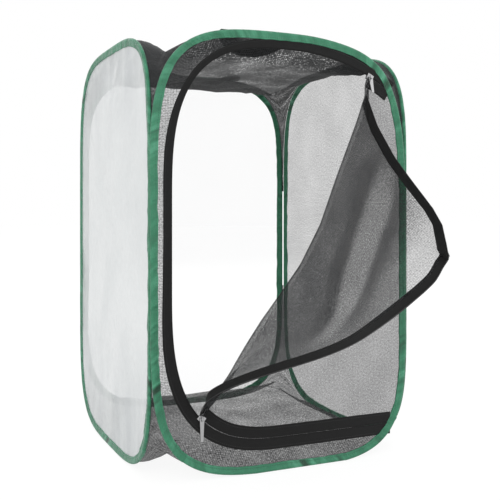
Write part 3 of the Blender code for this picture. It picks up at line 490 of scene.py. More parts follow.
def blackTape(name, pitch=0.0016, shine=0.62, tone=0.013):
    recipe = Recipe(name)
    flat, u, v = recipe.cloth()
    slow = recipe.noise(flat, 90.0, 3.0)
    fold = (recipe.wave(v, pitch * 2) - 0.5).maths("ABSOLUTE")
    bone = recipe.wave(u + fold * pitch, pitch)
    rows = recipe.wave(v, pitch * 0.5)
    seam = (v - 0.0125).maths("ABSOLUTE").maths("LESS_THAN", 0.0004)
    stitch = seam * recipe.wave(u, 0.0030).maths("GREATER_THAN", 0.3)
    tint = recipe.mix(slow * 0.7 + bone * 0.3, (tone * 0.6, tone * 0.6, tone * 0.62, 1),
                      (tone * 1.9, tone * 1.9, tone * 1.9, 1))
    tint = recipe.mix(stitch * 0.5, tint, (0.045, 0.045, 0.046, 1))
    recipe.set(Base_Color=tint, Roughness=slow * 0.2 + shine,
               Normal=recipe.bump(bone * 0.5 + rows * 0.3 + slow * 0.5 + stitch * 0.4, 0.0004),
               Sheen_Weight=0.02, Specular_IOR_Level=0.22)
    return recipe.material


def film(name, haze, tint):
    recipe = Recipe(name)
    flat, u, v = recipe.cloth()
    slow = recipe.noise(flat, 7.0, 3.0, 0.55)
    fine = recipe.noise(flat, 45.0, 2.0)
    streak = recipe.spread(recipe.noise(recipe.scaled(flat, 26.0, 3.5, 1.0), 1.0, 3.0), 0.36, 0.64)
    ends = ((v - 0.30).maths("ABSOLUTE") - 0.10).maths("MAXIMUM", 0.0) * 4.0
    # darker in slow random patches of tone, and in streaks near the top and bottom: painted shade of the film's
    # wrinkles
    toneAndPaintedShade = recipe.mix((streak * ends + slow * 0.35).maths("MINIMUM", 1.0), tint,
                       (tint[0] * 0.74, tint[1] * 0.75, tint[2] * 0.77, 1))
    recipe.set(Base_Color=toneAndPaintedShade, Roughness=fine * 0.12 + 0.16, Alpha=(slow * 0.7 + 0.65) * haze,
               Normal=recipe.bump(slow + fine * 0.08, 0.010, 0.7), Specular_IOR_Level=0.5)
    return recipe.material


def metal(name, tone, rough):
    recipe = Recipe(name)
    slow = recipe.noise(recipe.node("ShaderNodeTexCoord", output="Object"), 900.0, 3.0)
    recipe.set(Base_Color=recipe.mix(slow, (tone * 0.8, tone * 0.8, tone * 0.82, 1),
                                     (tone * 1.15, tone * 1.15, tone * 1.15, 1)),
               Metallic=1.0, Roughness=slow * 0.15 + rough,
               Normal=recipe.bump(slow, 0.00006))
    return recipe.material


def coilPlastic(name):
    recipe = Recipe(name)
    flat, u, v = recipe.cloth()
    slow = recipe.noise(flat, 200.0, 2.0)
    recipe.set(Base_Color=recipe.mix(slow, (0.010, 0.010, 0.011, 1), (0.022, 0.022, 0.023, 1)),
               Roughness=slow * 0.1 + 0.32)
    return recipe.material


materials = {
    "green": greenTape("green binding cloth"),
    "netFront": netting("front netting", 0.55),
    "netFixed": netting("door netting", 0.38),
    "netFlap": netting("open door netting", 0.44, (0.02, 0.17, 1.85), paintedFoldShade=True),
    "netRoll": netting("folded netting", 0.66),
    "netRight": netting("right netting", 0.42),
    "netRoof": netting("roof netting", 1.12, None, 0.5),
    "netFloor": netting("floor netting", 0.62, None, 0.35),
    "tape": blackTape("zip tape cloth", tone=0.008),
    "webbing": blackTape("webbing", 0.0024, 0.55, 0.013),
    "filmLeft": film("milky film", 0.86, (0.80, 0.83, 0.83, 1)),
    "filmBack": film("clear film", 0.05, (0.80, 0.84, 0.88, 1)),
    "slider": metal("plated slider", 0.42, 0.30),
    "wire": metal("spring steel", 0.50, 0.35),
    "coil": coilPlastic("zip coil nylon"),
}
print("materials ready")


# ---- bindings and their laps
binding = {
    "profile": [(0.0108, 0.0009), (0.0103, 0.00118), (0.0088, 0.00125), (0.0069, 0.00136), (0.0056, 0.00175),
                (0.0042, 0.00228), (0.0029, 0.0025), (0.0016, 0.00232), (0.0007, 0.0017), (0.0001, 0.0008)],
    "lapLength": 0.020,
    "lapLift": 0.0006,
}


def sectionOf(grow):
    half = np.array(binding["profile"])
    outer = half + np.array([0, grow])
    outer[-3:, 0] -= grow
    inner = outer[::-1] * np.array([1, -1])
    return np.concatenate([outer, inner])


def halfThickness(node, side):
    low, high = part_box(node)
    return (high - low)[1 if side in ("front", "back") else 0] / 2


def bindingGrid(line, inward, place, seed, grow, ruffle, limit):
    section = sectionOf(grow)
    run = runOf(ringOf(line))
    grid = np.zeros((len(line), len(section), 3))
    for index in range(len(line)):
        at = run[index]
        lip = noise.noise(Vector((at * 42, seed, 0.3))) * 0.0013 * ruffle
        swell = 1 + 0.10 * noise.noise(Vector((at * 60, seed, 9.7)))
        broad = noise.noise(Vector((at * 9, seed, 2.9))) * 0.0022 * ruffle
        busy = 0.35 + 0.9 * smooth(noise.noise(Vector((at * 7, seed, 7.7))) * 1.6 + 0.5)
        for k, (depth, half) in enumerate(section):
            reach = smooth((depth - 0.003) / 0.008)
            edge = depth + reach * (noise.noise(Vector((at * 75, seed, 2.2))) * 0.0008 + broad)
            # gathers that run slantwise across the cloth
            slant = Vector((at * 130 + depth * 55, depth * 38, seed + 5.1))
            pinch = noise.noise(slant) * 0.00085 * ruffle * busy
            eta = half * swell + reach * lip + math.copysign(pinch, half) * (0.15 + reach)
            grid[index, k] = place(line[index] + inward[index] * edge, max(-limit, min(limit, eta)))
    return grid, run, runOf(ringOf(section))


def wireGrid(line, inward, place):
    # the spring wire in the binding's bead
    angles = np.linspace(0, 2 * math.pi, 8, endpoint=False)
    rows = [place(line + inward * (cage["beadDepth"] / 2 + cage["wire"] * math.cos(angle)),
                  cage["wire"] * math.sin(angle)) for angle in angles]
    return np.stack(rows, 1)


bodies = {"front": "front_wall", "left": "left_wall", "right": "right_wall", "back": "back_wall"}

for number, side in enumerate(("front", "left", "right", "back")):
    place = onWall(side)
    ring = frontRing if side == "front" else outlineRing
    grid, run, across = bindingGrid(ring, leftOf(ring, True), place, 3.7 * number, 0.0, 1.0,
                                    halfThickness(side + "_binding", side))
    made = tubeMesh(side + "Binding", ringOf(grid), run, across, welded=True)
    finish(made, bodies[side], "green", "green_binding", side + "_binding")
    # the lap where the tape's two ends meet
    low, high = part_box(side + "_binding_lap")
    middle = (low + high) / 2
    spot = np.array([middle.x if side in ("front", "back") else middle.y, middle.z])
    start = int(np.argmin(np.linalg.norm(ring - spot, axis=1)))
    piece = np.take(ring, np.arange(start - 60, start + 60), axis=0, mode="wrap")
    centre = runOf(piece)[60]
    reach = binding["lapLength"] / 2
    lapLine = between(piece, centre - reach, centre + reach, 14)
    inward = leftOf(lapLine)
    if np.dot(inward[7], leftOf(ring, True)[start]) < 0:
        inward = -inward
    lapGrid, lapRun, lapAcross = bindingGrid(lapLine, inward, place, 3.7 * number + 1, binding["lapLift"], 0.5,
                                             halfThickness(side + "_binding_lap", side))
    under, _, _ = bindingGrid(lapLine, inward, place, 3.7 * number + 1, 0.0001, 0.5, 0.0024)
    lapGrid[0] = under[0]
    lapGrid[-1] = under[-1]
    lap = tubeMesh(side + "Lap", lapGrid, lapRun[:-1], lapAcross)
    finish(lap, bodies[side], "green", "green_binding", side + "_binding_lap")
wireRings = wireGrid(frontRing, leftOf(frontRing, True), onWall("front"))
wire = tubeMesh("frontWire", ringOf(wireRings), runOf(ringOf(frontRing)),
                np.linspace(0, 2 * math.pi * cage["wire"], 9), welded=True)
finish(wire, "front_wall", "wire", "spring_steel", "front_wire_loop")
print("bindings made")


# ---- flat walls of film and netting
def panelGrid(side, depth, rows, cols, waves):
    inner = outlineRing + leftOf(outlineRing, True) * depth
    share = (1 - np.cos(np.linspace(0, math.pi, rows + 1))) / 2
    heights = depth + 0.0002 + share * (cage["height"] - 2 * depth - 0.0004)
    rightSide = inner[inner[:, 0] > 0]
    order = np.argsort(rightSide[:, 1])
    widths = np.interp(heights, rightSide[order, 1], rightSide[order, 0])
    across = np.linspace(-1, 1, cols + 1)
    flat = np.stack([widths[:, None] * across, np.broadcast_to(heights[:, None], (rows + 1, cols + 1))], -1)
    room = nearest(flat.reshape(-1, 2), outline)[1].reshape(flat.shape[:2])
    return onWall(side)(flat, waves(flat) * smooth((room - 0.010) / 0.05)), flat


def filmWaves(flat):
    slow = rippled(flat, 6.0, 1.0) * 0.0035
    slant = np.abs(np.sin((flat[..., 0] * 0.6 + flat[..., 1]) * 16 + 2 * rippled(flat, 5, 4.0))) ** 6
    return slow + slant * 0.0012


def flatArea(flat):
    # the area of a grid of flat points
    one, two = flat[1:, 1:] - flat[:-1, :-1], flat[1:, :-1] - flat[:-1, 1:]
    return float(np.abs(one[..., 0] * two[..., 1] - one[..., 1] * two[..., 0]).sum() / 2)


def declareSheet(flat):
    # the flat size and area of a sheet whose cut is its own flat pattern, worked out and not kept
    wide, long = flat.reshape(-1, 2).max(0) - flat.reshape(-1, 2).min(0)
    flatArea(flat)


def netWaves(flat):
    return rippled(flat, 8.0, 7.0) * 0.0022


for side, node, name, look, slot, waves in (
        ("left", "left_clear_wall", "leftFilm", "filmLeft", "clear_film", filmWaves),
        ("back", "back_clear_wall", "backFilm", "filmBack", "clear_film", filmWaves),
        ("right", "right_mesh_wall", "rightNetting", "netRight", "black_mesh", netWaves)):
    grid, flat = panelGrid(side, cage["hem"], 110, 80, waves)
    made = clothMesh(name, grid, flat)
    finish(made, bodies[side], look, slot, node)
    side + "_binding"
print("walls made")


# ---- front wall: netting round the door, tapes and coils
frontPlace = onWall("front")


def insideLoop(points):
    # whether a place of the front wall lies within its loop
    near = nearest(points, frontOutline)[0]
    inward = leftOf(frontOutline, True)[near]
    return ((points - frontOutline[near]) * inward).sum(1) > 0


def free(line):
    # which places of a line of the front wall are clear of its binding's hem
    return (nearest(line, frontOutline)[1] > cage["hem"]) & insideLoop(line)


def trimmedRun(offset):
    # the zip's whole line, moved outwards and cut off where it meets the binding
    line = wholeRun + wholeOut * offset
    clear = free(line)
    middle = int(np.argmin(line[:, 0]))
    first = middle - int(np.argmin(np.append(clear[:middle][::-1], False)))
    last = middle + int(np.argmin(np.append(clear[middle + 1:], False)))
    return line[first:last + 1]


inner = evenly(trimmedRun(0.003), 260)
outer = frontRim[nearest(inner, frontRim)[0]]
shares = np.linspace(0, 1, 9)[:, None, None]
flat = inner[None] * (1 - shares) + outer[None] * shares
eta = rippled(flat, 9.0, 2.0) * 0.0016 * np.sin(np.pi * shares[..., 0]) - 0.0004
surround = clothMesh("frontNetting", frontPlace(flat, eta), flat)
finish(surround, "front_wall", "netFront", "black_mesh", "front_mesh_surround")
ringWide = float(np.linalg.norm(outer - inner, axis=1).max())
ringLong = float(runOf((outer + inner) / 2)[-1])
flatArea(flat)


def tape(name, line, place):
    # a flat tape with thickness along a line; place gives a spot at an offset and a height
    near, far = zipper["gap"], zipper["tape"]
    low, high = zipper["tapeLayer"]
    offsets = np.linspace(near, far, 6)
    rows = [place(line, offset, high) for offset in offsets]
    rows += [place(line, offset, low) for offset in offsets[::-1]]
    width = np.concatenate([offsets - near, 2 * far - near - offsets[::-1], [2 * (far - near)]])
    return tubeMesh(name, np.stack(rows, 1), runOf(line), width)


def coil(name, line, place):
    # the row of moulded turns along a tape's edge
    near, far = zipper["coil"]
    low, high = zipper["coilLayer"]
    grow = np.where(np.arange(len(line)) % 2 == 0, 1.0, 0.62)
    middle = place(line, (near + far) / 2, (low + high) / 2)
    aside = place(line, far, (low + high) / 2) - middle
    rise = place(line, (near + far) / 2, high) - middle
    rows = [middle + aside * (math.cos(angle) * grow)[:, None] + rise * (math.sin(angle) * grow)[:, None]
            for angle in np.linspace(0, 2 * math.pi, 8, endpoint=False)]
    return tubeMesh(name, np.stack(rows, 1), runOf(line), np.linspace(0, 0.006, 9), smoothed=False)


def coilSteps(line):
    return evenly(line, int(runOf(line)[-1] / zipper["pitch"]) * 2)


def addZip(names, line, sign, nodes, wave, narrow=1.0):
    # a tape of the front wall, which waves more and more outwards, and its coil
    shift = wave * np.array([noise.noise(Vector((at * 38, zipper["gap"] * 999, 1.7))) for at in runOf(line)])
    span = zipper["tape"] - zipper["gap"]

    def onTape(points, offset, eta):
        reach = np.broadcast_to(offset * narrow, len(points))[:, None]
        return frontPlace(points + sign * leftOf(points) * reach, eta + shift * (offset - zipper["gap"]) / span)

    steps = coilSteps(line)
    out = evenly(line + sign * leftOf(line), len(steps) - 1) - steps
    out /= np.linalg.norm(out, axis=1)[:, None]
    finish(tape(names[0], line, onTape), "front_wall", "tape", "black_tape", nodes[0])
    finish(coil(names[1], steps, lambda points, offset, eta: frontPlace(points + out * offset, eta)),
           "front_wall", "coil", "black_coil", nodes[1])


# the tape is drawn in and curls over on the left, most of all high up
tapeWidth = [(0, 1), (0.16, 1), (0.24, 0.62), (0.31, 0.52), (0.38, 0.78), (0.50, 0.76), (0.58, 0.85),
             (0.64, 1), (1, 1)]
frontSteps = 420
addZip(("frontZipTape", "frontZipCoil"), evenly(trimmedRun(0.0), frontSteps), -1,
       ("front_zip_tape", "front_zip_coil"), 0.0004,
       through(tapeWidth, 0.4)(np.linspace(0, 1, frontSteps + 1)))
for name, source, sign, steps in (("upper", upperRun, -1, 60), ("lower", lowerRun, 1, 170)):
    stop = int(np.argmin(free(source)))
    addZip((name + "DoorTape", name + "DoorCoil"), evenly(source[:stop], steps), sign,
           ("door_zip_tape_" + name, "door_zip_coil_" + name), 0.0009)
print("front wall made")


# ---- the door: netting that stays zipped, the roll at the fold, the open leaf and its corner
fold = {
    # how far the roll lies to the right of the straight fold, by share of the fold's length
    "belly": [(0, 0), (0.05, 0.0093), (0.125, 0.0157), (0.29, 0.0258), (0.42, 0.0352), (0.54, 0.0349),
              (0.62, 0.0281), (0.72, 0.0189), (0.80, 0.0140), (0.88, 0.0110), (0.95, 0.0050), (1, 0)],
    "roll": 0.008,          # how far the roll stands off the wall
    "steps": 110,
}
hang = {
    # how far the corner's zip edge lies behind its plane, by share of the crease's length
    "back": [(0, 0.013), (0.24, 0.0155), (0.42, 0.010), (0.57, 0.0), (0.71, -0.0095), (0.80, -0.0115),
             (0.90, -0.005), (1, 0.003)],
    # how far the big leaf's netting stops short of the crease
    "short": [(0, 0.020), (0.24, 0.024), (0.35, 0.022), (0.52, 0.0115), (0.62, 0.004), (0.72, -0.003),
              (0.83, -0.003), (0.90, 0.001), (1, 0.004)],
    "seam": 0.0015,         # width of the bent netting at the crease, as it hangs
    "tapeIn": 0.013,        # the corner's tape, measured in its plane and off it
    "tapeBack": 0.012,
    "tapeTurn": 42.0,       # how far the lower tape turns its face to the front, in degrees
    "bow": 0.022,           # how far to each side of the crease's end the tape bends
    "slack": 0.004,         # how far the lower edge is drawn in
    "tuck": 0.006,          # how far the turn of the edge is drawn in, at the crease's end
}
foldShare = np.linspace(0, 1, fold["steps"] + 1)
belly = np.clip(through(fold["belly"], 0.12)(foldShare), 0, None)
belly = belly * smooth(foldShare / 0.05) * smooth((1 - foldShare) / 0.05)
chordLine = topPoint + chord * (0.003 + (chordLength - 0.006) * foldShare)[:, None]
rollLine = chordLine + rightward * belly[:, None]          # where the cloth turns, in the wall
flapLine = chordLine - rightward * belly[:, None]          # the same cloth on the open leaf


def leafWave(points):
    # slow waves in the hanging netting, none at the fold, the crease and the tape
    run = points - topPoint
    along, reach = (run @ chord) / chordLength, -(run @ rightward)
    off = np.abs(run @ creaseOut)
    edge = np.min(np.linalg.norm(points[..., None, :] - doorRun[::12], axis=-1), -1)
    calm = smooth((reach - 0.01) / 0.05) * smooth((edge - 0.014) / 0.04) * smooth((off - 0.004) / 0.05)
    valley = np.exp(-((reach - 0.055 - 0.075 * along) / 0.016) ** 2) * smooth((along - 0.1) / 0.3)
    ridge = np.exp(-((reach - 0.090 - 0.060 * along) / 0.015) ** 2) * smooth((along - 0.1) / 0.3)
    wave = 0.012 * (valley - ridge) + 0.004 * rippled(points, 13, 3.0) + 0.0014 * rippled(points, 38, 6.0)
    return wave * calm


upperEdge, lowerEdge = upperRun - leftOf(upperRun) * 0.003, lowerRun + leftOf(lowerRun) * 0.003
upperEdge, lowerEdge = (line[:int(np.argmin(free(line)))] for line in (upperEdge, lowerEdge))
rimUp = frontRim[:, 1]
side = frontRim[(frontRim[:, 0] > 0) & (rimUp < upperEdge[-1, 1]) & (rimUp > lowerEdge[-1, 1])]
side = side[np.argsort(-side[:, 1])]
edge = evenly(np.concatenate([upperEdge, side, lowerEdge[::-1]]), fold["steps"])
shares = np.linspace(0, 1, 31)[:, None, None]
flat = rollLine[None] * (1 - shares) + edge[None] * shares
eta = rippled(flat, 8.0, 5.0) * 0.002 * np.sin(np.pi * shares[..., 0]) - 0.0004
fixed = clothMesh("fixedDoorNetting", frontPlace(flat, eta), flat)
finish(fixed, "front_wall", "netFixed", "black_mesh", "door_mesh_fixed")
declareSheet(flat)

# the roll: half a turn from the wall to the leaf in front of it
rollStart = frontPlace(rollLine, -0.0004)
angles = np.linspace(0, math.pi, 15)[:, None, None]
rollGrid = rollStart + (outwards * (1 - np.cos(angles)) / 2 - foldRight * np.sin(angles) * 0.55) * fold["roll"]
rollWide = np.linspace(-1, 1, 15)[:, None] * np.maximum(belly, 0.002)[None]
rollUv = np.stack([rollWide, np.broadcast_to(foldShare * chordLength, rollWide.shape)], -1)
roll = clothMesh("doorRoll", rollGrid, rollUv)
finish(roll, None, "netRoll", "black_mesh")

# the big leaf's netting
total = runOf(doorRun)[-1]
turnAt = total * door["creaseShare"]
creaseShares = np.linspace(0.027 / creaseLength, 1, 42)
short = through(hang["short"], 0.16)
creaseLine = topPoint + crease * (creaseShares * creaseLength)[:, None]
creaseLine = creaseLine - creaseOut * short(creaseShares)[:, None]
netEdge = doorRun + leftOf(doorRun) * 0.003
lowFirst, lowLast = turnAt + zipper["free"], total - zipper["free"]
lowArc = between(netEdge, lowFirst, lowLast, 69)
mainEdge = np.concatenate([creaseLine[:-1], lowArc])
shares = np.linspace(0, 1, 61)[:, None, None]
flat = flapLine[None] * (1 - shares) + mainEdge[None] * shares


def slackAt(points):
    along = (points - topPoint) @ chord
    turn = 1 - smooth(np.linalg.norm(points - turnPoint, axis=-1) / 0.045)
    return hang["slack"] * smooth((along - 0.26) / 0.08) * smooth((0.50 - along) / 0.08) + hang["tuck"] * turn


def lowerTape(line, offset, eta):
    # a place on the lower tape: its zip edge hangs with the leaf, its width turns to the front
    inward = leftOf(line)
    base = onLeaf(line + inward * slackAt(line)[:, None], 0.0)
    along = (line - topPoint) @ chord
    ahead = onLeaf(line + inward * (slackAt(line) + 0.001)[:, None], 0.0) - base
    ahead /= np.linalg.norm(ahead, axis=1)[:, None]
    layer = onLeaf(line + inward * slackAt(line)[:, None], 0.001) - base
    layer /= np.linalg.norm(layer, axis=1)[:, None]
    turn = np.radians(hang["tapeTurn"]) * smooth((along - 0.27) / 0.14) * smooth((chordLength - along) / 0.03)
    cosine, sine = np.cos(turn)[:, None], np.sin(turn)[:, None]
    across = ahead * cosine - layer * sine
    upright = layer * cosine + ahead * sine
    return base + across * offset + upright * eta


grid = onLeaf(flat, -0.0004, leafWave(flat))
pull = (rollGrid[-1] - grid[0])[None]
grid = grid + pull * (1 - smooth(shares / 0.3))
lowCount = len(creaseLine) - 1
lowLine = between(doorRun, lowFirst, lowLast, 69)
push = np.zeros_like(grid[0])
push[lowCount:] = lowerTape(lowLine, 0.012, -0.0004) - grid[-1, lowCount:]
grid = grid + push[None] * smooth((shares - 0.35) / 0.6)
away = -((flat - topPoint) @ rightward)
flapFlat = np.stack([0.22 - away, (flat - topPoint) @ chord], -1)
flap = clothMesh("openDoorNetting", grid, flapFlat)
# painted fold shade: the leaf's netting is made denser where its waves slope one way and thinner where they
# slope the other, standing in for the dark and light sides of its folds
slope = np.gradient(leafWave(flat), axis=0) / np.maximum(np.gradient(away, axis=0), 1e-4)
tone = flap.data.attributes.new("paintedFoldShade", "FLOAT", "POINT")
tone.data.foreach_set("value", (0.38 * np.tanh(slope * 2.2)).astype(np.float32).ravel())
finish(flap, None, "netFlap", "black_mesh", "door_mesh_flap")


# the corner's netting, from the crease to its tape
backOf = through(hang["back"], 0.16)


def cornerTape(line, offset, eta):
    # a place on the corner's tape, whose face is turned to the front
    inward = leftOf(line)
    run = line - topPoint
    place, reach = run @ crease, run @ creaseOut
    share = offset / zipper["tape"]
    place = place + inward @ crease * share * hang["tapeIn"]
    inner = np.maximum(reach + inward @ creaseOut * share * hang["tapeIn"], 0.0005)
    steep = smooth(reach / 0.02)
    back = backOf((run @ crease) / creaseLength) + share * hang["tapeBack"] * (0.55 + 0.45 * steep)
    return onCorner(place, inner, back + eta)


seamShare = np.maximum(short(creaseShares), 0)
seamFirst = grid[-1, :len(creaseLine) - 1]
startPlace = creaseShares[:-1] * creaseLength
startReach = seamShare[:-1] / 2
startBack = seamShare[:-1] * math.sqrt(3) / 2
seamLast = onCorner(startPlace, startReach, startBack) + leafFront * hang["seam"]
cornerEnd = between(doorRun, 0.030, turnAt - 0.004, len(startPlace) - 1)
endPlace, endReach = (cornerEnd - topPoint) @ crease, (cornerEnd - topPoint) @ creaseOut
last = cornerTape(cornerEnd, 0.012, -0.0004)
shares = np.linspace(0, 1, 15)[:, None, None]
cornerGrid = seamLast[None] * (1 - shares) + last[None] * shares
cornerGrid = cornerGrid - cornerBack * 0.005 * np.sin(np.pi * shares)
cornerFlat = (np.stack([startPlace, startReach], -1)[None] * (1 - shares)
              + np.stack([endPlace, endReach], -1)[None] * shares)
corner = clothMesh("doorCornerNetting", cornerGrid, cornerFlat)
finish(corner, "door_corner", "netFlap", "black_mesh", "door_mesh_corner")

shares = np.linspace(0, 1, 5)[:, None, None]
seamGrid = seamFirst[None] * (1 - shares) + seamLast[None] * shares
seamWide = np.linspace(0, 1, 5)[:, None] * np.maximum(seamShare[:-1] * 1.5, 0.0015)[None]
seamUv = np.stack([seamWide, np.broadcast_to(startPlace, seamWide.shape)], -1)
seam = clothMesh("creaseNetting", seamGrid, seamUv)
finish(seam, None, "netRoll", "black_mesh")
declareSheet(flapFlat)
declareSheet(cornerFlat)


def rounded(place, line):
    # the tape turns in a bow at the crease's end, where its two stretches meet
    share = np.linspace(-1, 1, 25)
    weight = np.exp(-2.5 * share ** 2)
    fine = evenly(doorRun, 3000)
    fineRun = np.linspace(0, total, len(fine))
    lineRun = np.interp(np.arange(len(line)) / (len(line) - 1), [0, 1],
                        [fineRun[np.argmin(np.linalg.norm(fine - end, axis=1))] for end in (line[0], line[-1])])
    near = 1 - smooth(np.abs(lineRun - turnAt) / (1.5 * hang["bow"]) - 0.3)

    def softened(points, offset, eta):
        base = place(points, offset, eta)
        if len(points) != len(line):
            return base
        mean = np.zeros_like(base)
        for step, amount in zip(share * hang["bow"], weight / weight.sum()):
            run = lineRun + step * near
            spots = np.stack([np.interp(run, fineRun, fine[:, k]) for k in (0, 1)], 1)
            before = (run < turnAt)[:, None]
            here = np.where(before, cornerTape(spots, offset, eta), lowerTape(spots, offset, eta))
            mean = mean + here * amount
        return np.where(near[:, None] > 0, base + (mean - base) * near[:, None], base)

    return softened


cornerLine = between(doorRun, 0.028, turnAt, 160)
lowerLine = between(doorRun, turnAt, lowLast, 240)
pieces = []
for name, line, place, body in (("Corner", cornerLine, cornerTape, "door_corner"),
                                ("Flap", lowerLine, lowerTape, None)):
    steps = coilSteps(line)
    pieces += [tape("door" + name + "Tape", line, rounded(place, line)),
               coil("door" + name + "Coil", steps, rounded(place, steps))]
    finish(pieces[-2], body, "tape", "black_tape", "door_zip_tape_" + name.lower())
    finish(pieces[-1], body, "coil", "black_coil", "door_zip_coil_" + name.lower())

# the door's cloth, roll and seam get their transforms baked in, and a slope and an origin for the shutting door
# are worked out
standSpan = door["standTo"] - door["standFrom"]
for made in (flap, pieces[2], pieces[3]):
    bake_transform(made)
lowest = door["standTo"] / standSpan
wallAt = -float(rollStart[0, 1])
slope = -foldAlong / standSpan + outwards * lowest / fold["roll"]
step = slope / (slope @ slope)
origin = np.array([topPoint[0], -wallAt, topPoint[1]])
tuple(origin + step)
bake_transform(roll)
seamDepth = float(((seamFirst - creaseStart) @ leafFront).mean())
seamFrom = creaseStart + leafFront * seamDepth
seamTo = creaseStart + leafFront * float(((seamLast - creaseStart) @ leafFront).mean())
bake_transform(seam)
for made in (corner, pieces[0], pieces[1]):
    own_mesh(made)
print("door made")


# ---- roof and floor netting, stretched over the four arches and gathered towards the corners
cover = {
    "count": 56,            # steps across
    "inset": 0.0025,        # of the net's edge inside the wire's line
    "edge": 0.1943,         # where its sides and its corners end
    "tip": 0.19235,
    "sag": 0.030,           # how far the webs hang in from the arches' height
    "cut": 0.43,            # the flat square
    "flat": 0.004,          # what is left of its depth when the walls are folded
}


def coverGrid(upper):
    # a web of threads drawn straight from arch to arch round each corner
    rise, count = cage["corner"], cover["count"]
    centre = cage["height"] - rise if upper else rise
    start, stop = (180, 0) if upper else (180, 360)
    arch = cornerArc(cage["half"], rise, cage["power"], start, stop, 2 * count, centre)
    away = arch - np.array([0, centre])
    arch = (arch - away / np.linalg.norm(away, axis=1)[:, None] * cover["inset"])[::2]
    bow = bowed(arch) - arch
    lines, half = arch[:, 0], count // 2
    reachOf = np.abs(lines[0]) - np.abs(lines)
    x, y = np.meshgrid(lines, lines, indexing="ij")
    reach = reachOf[:, None] + reachOf[None, :]
    fade = 1 - smooth((y - lines[0]) / 0.12)
    up = np.interp(reach, reachOf[:half + 1], arch[:half + 1, 1]) + bow[:, None, 1] * fade
    x = x + bow[:, None, 0] * fade
    x[0], x[-1], y[:, 0], y[:, -1] = -cover["edge"], cover["edge"], -cover["edge"], cover["edge"]
    for i in (0, -1):
        for j in (0, -1):
            x[i, j], y[i, j] = cover["tip"] * (-2 * i - 1), cover["tip"] * (-2 * j - 1)
    room = np.minimum(reachOf[:, None], reachOf[None, :])
    inside, sag = smooth(room / 0.045), smooth(room / 0.06)
    flat = np.stack([x, y], -1)
    drawn = np.sin(reach * 190 + 3 * rippled(flat, 9.0, 4.0)) * smooth((0.22 - reach) / 0.12) * 0.0020
    lift = rippled(flat, 17.0, 8.0 if upper else 12.0) * 0.0034 + rippled(flat, 40.0, 2.0) * 0.0016
    inwards = -1 if upper else 1
    up = up + inwards * cover["sag"] * sag + (lift + drawn + inwards * 0.002) * inside
    return np.stack([x, y, up], -1)


def quarterOf(whole, name, wall):
    # the triangle of a cover between its middle and one wall
    made = whole.copy()
    made.data = whole.data.copy()
    made.name = made.data.name = name
    bpy.context.scene.collection.objects.link(made)
    shell = bmesh.new()
    shell.from_mesh(made.data)
    layer = shell.loops.layers.uv.active
    ahead = Vector({"front": (0, -1), "back": (0, 1), "left": (-1, 0), "right": (1, 0)}[wall])
    aside = ahead.orthogonal()
    for face in list(shell.faces):
        spots = [loop[layer].uv for loop in face.loops]
        pair = [vert for vert, spot in zip(face.verts, spots) if abs(abs(spot.x) - abs(spot.y)) < 1e-5]
        if len(pair) == 2:
            bmesh.utils.face_split(face, *pair)
    doomed = []
    for face in shell.faces:
        middle = sum((loop[layer].uv for loop in face.loops), Vector((0, 0))) / len(face.loops)
        if middle.dot(ahead) < abs(middle.dot(aside)):
            doomed.append(face)
    bmesh.ops.delete(shell, geom=doomed, context="FACES")
    shell.to_mesh(made.data)
    shell.free()
    return made


covers = {}
for name, node, upper, look in (("roofNetting", "roof_mesh", True, "netRoof"),
                                ("floorNetting", "floor_mesh", False, "netFloor")):
    grid = covers[name] = coverGrid(upper)
    side = np.linspace(-cover["cut"] / 2, cover["cut"] / 2, len(grid))
    uv = np.stack(np.meshgrid(side, side, indexing="ij"), -1)
    whole = clothMesh(name, grid, uv, flip=not upper)
    for wall, axis, far in (("front", (0, 1, 0), -1), ("back", (0, 1, 0), 1),
                            ("left", (1, 0, 0), -1), ("right", (1, 0, 0), 1)):
        made = quarterOf(whole, name + wall.title(), wall)
        finish(made, bodies[wall], look, "black_mesh", node)
        anchor = tuple(cage["wall"] * far * part for part in axis)
        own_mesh(made)
        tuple(axis)
    bpy.data.objects.remove(whole)
print("roof and floor made")


# ---- webbing handles
handles = {
    "front": {"node": "front_handle", "span": 0.133, "shift": -0.033, "facing": 1},
    "back": {"node": "back_handle", "span": 0.200, "shift": 0.0, "facing": -1},
    "width": 0.025, "thickness": 0.0012, "reach": 0.05,
    "stand": 30.0,          # how steeply the middle of the loop stands
    "wall": 0.1947,         # where its ends are sewn in
    "foldTo": (0.1940, 0.59, 0.10),     # the plane and height to press it to, and how much would be left
}


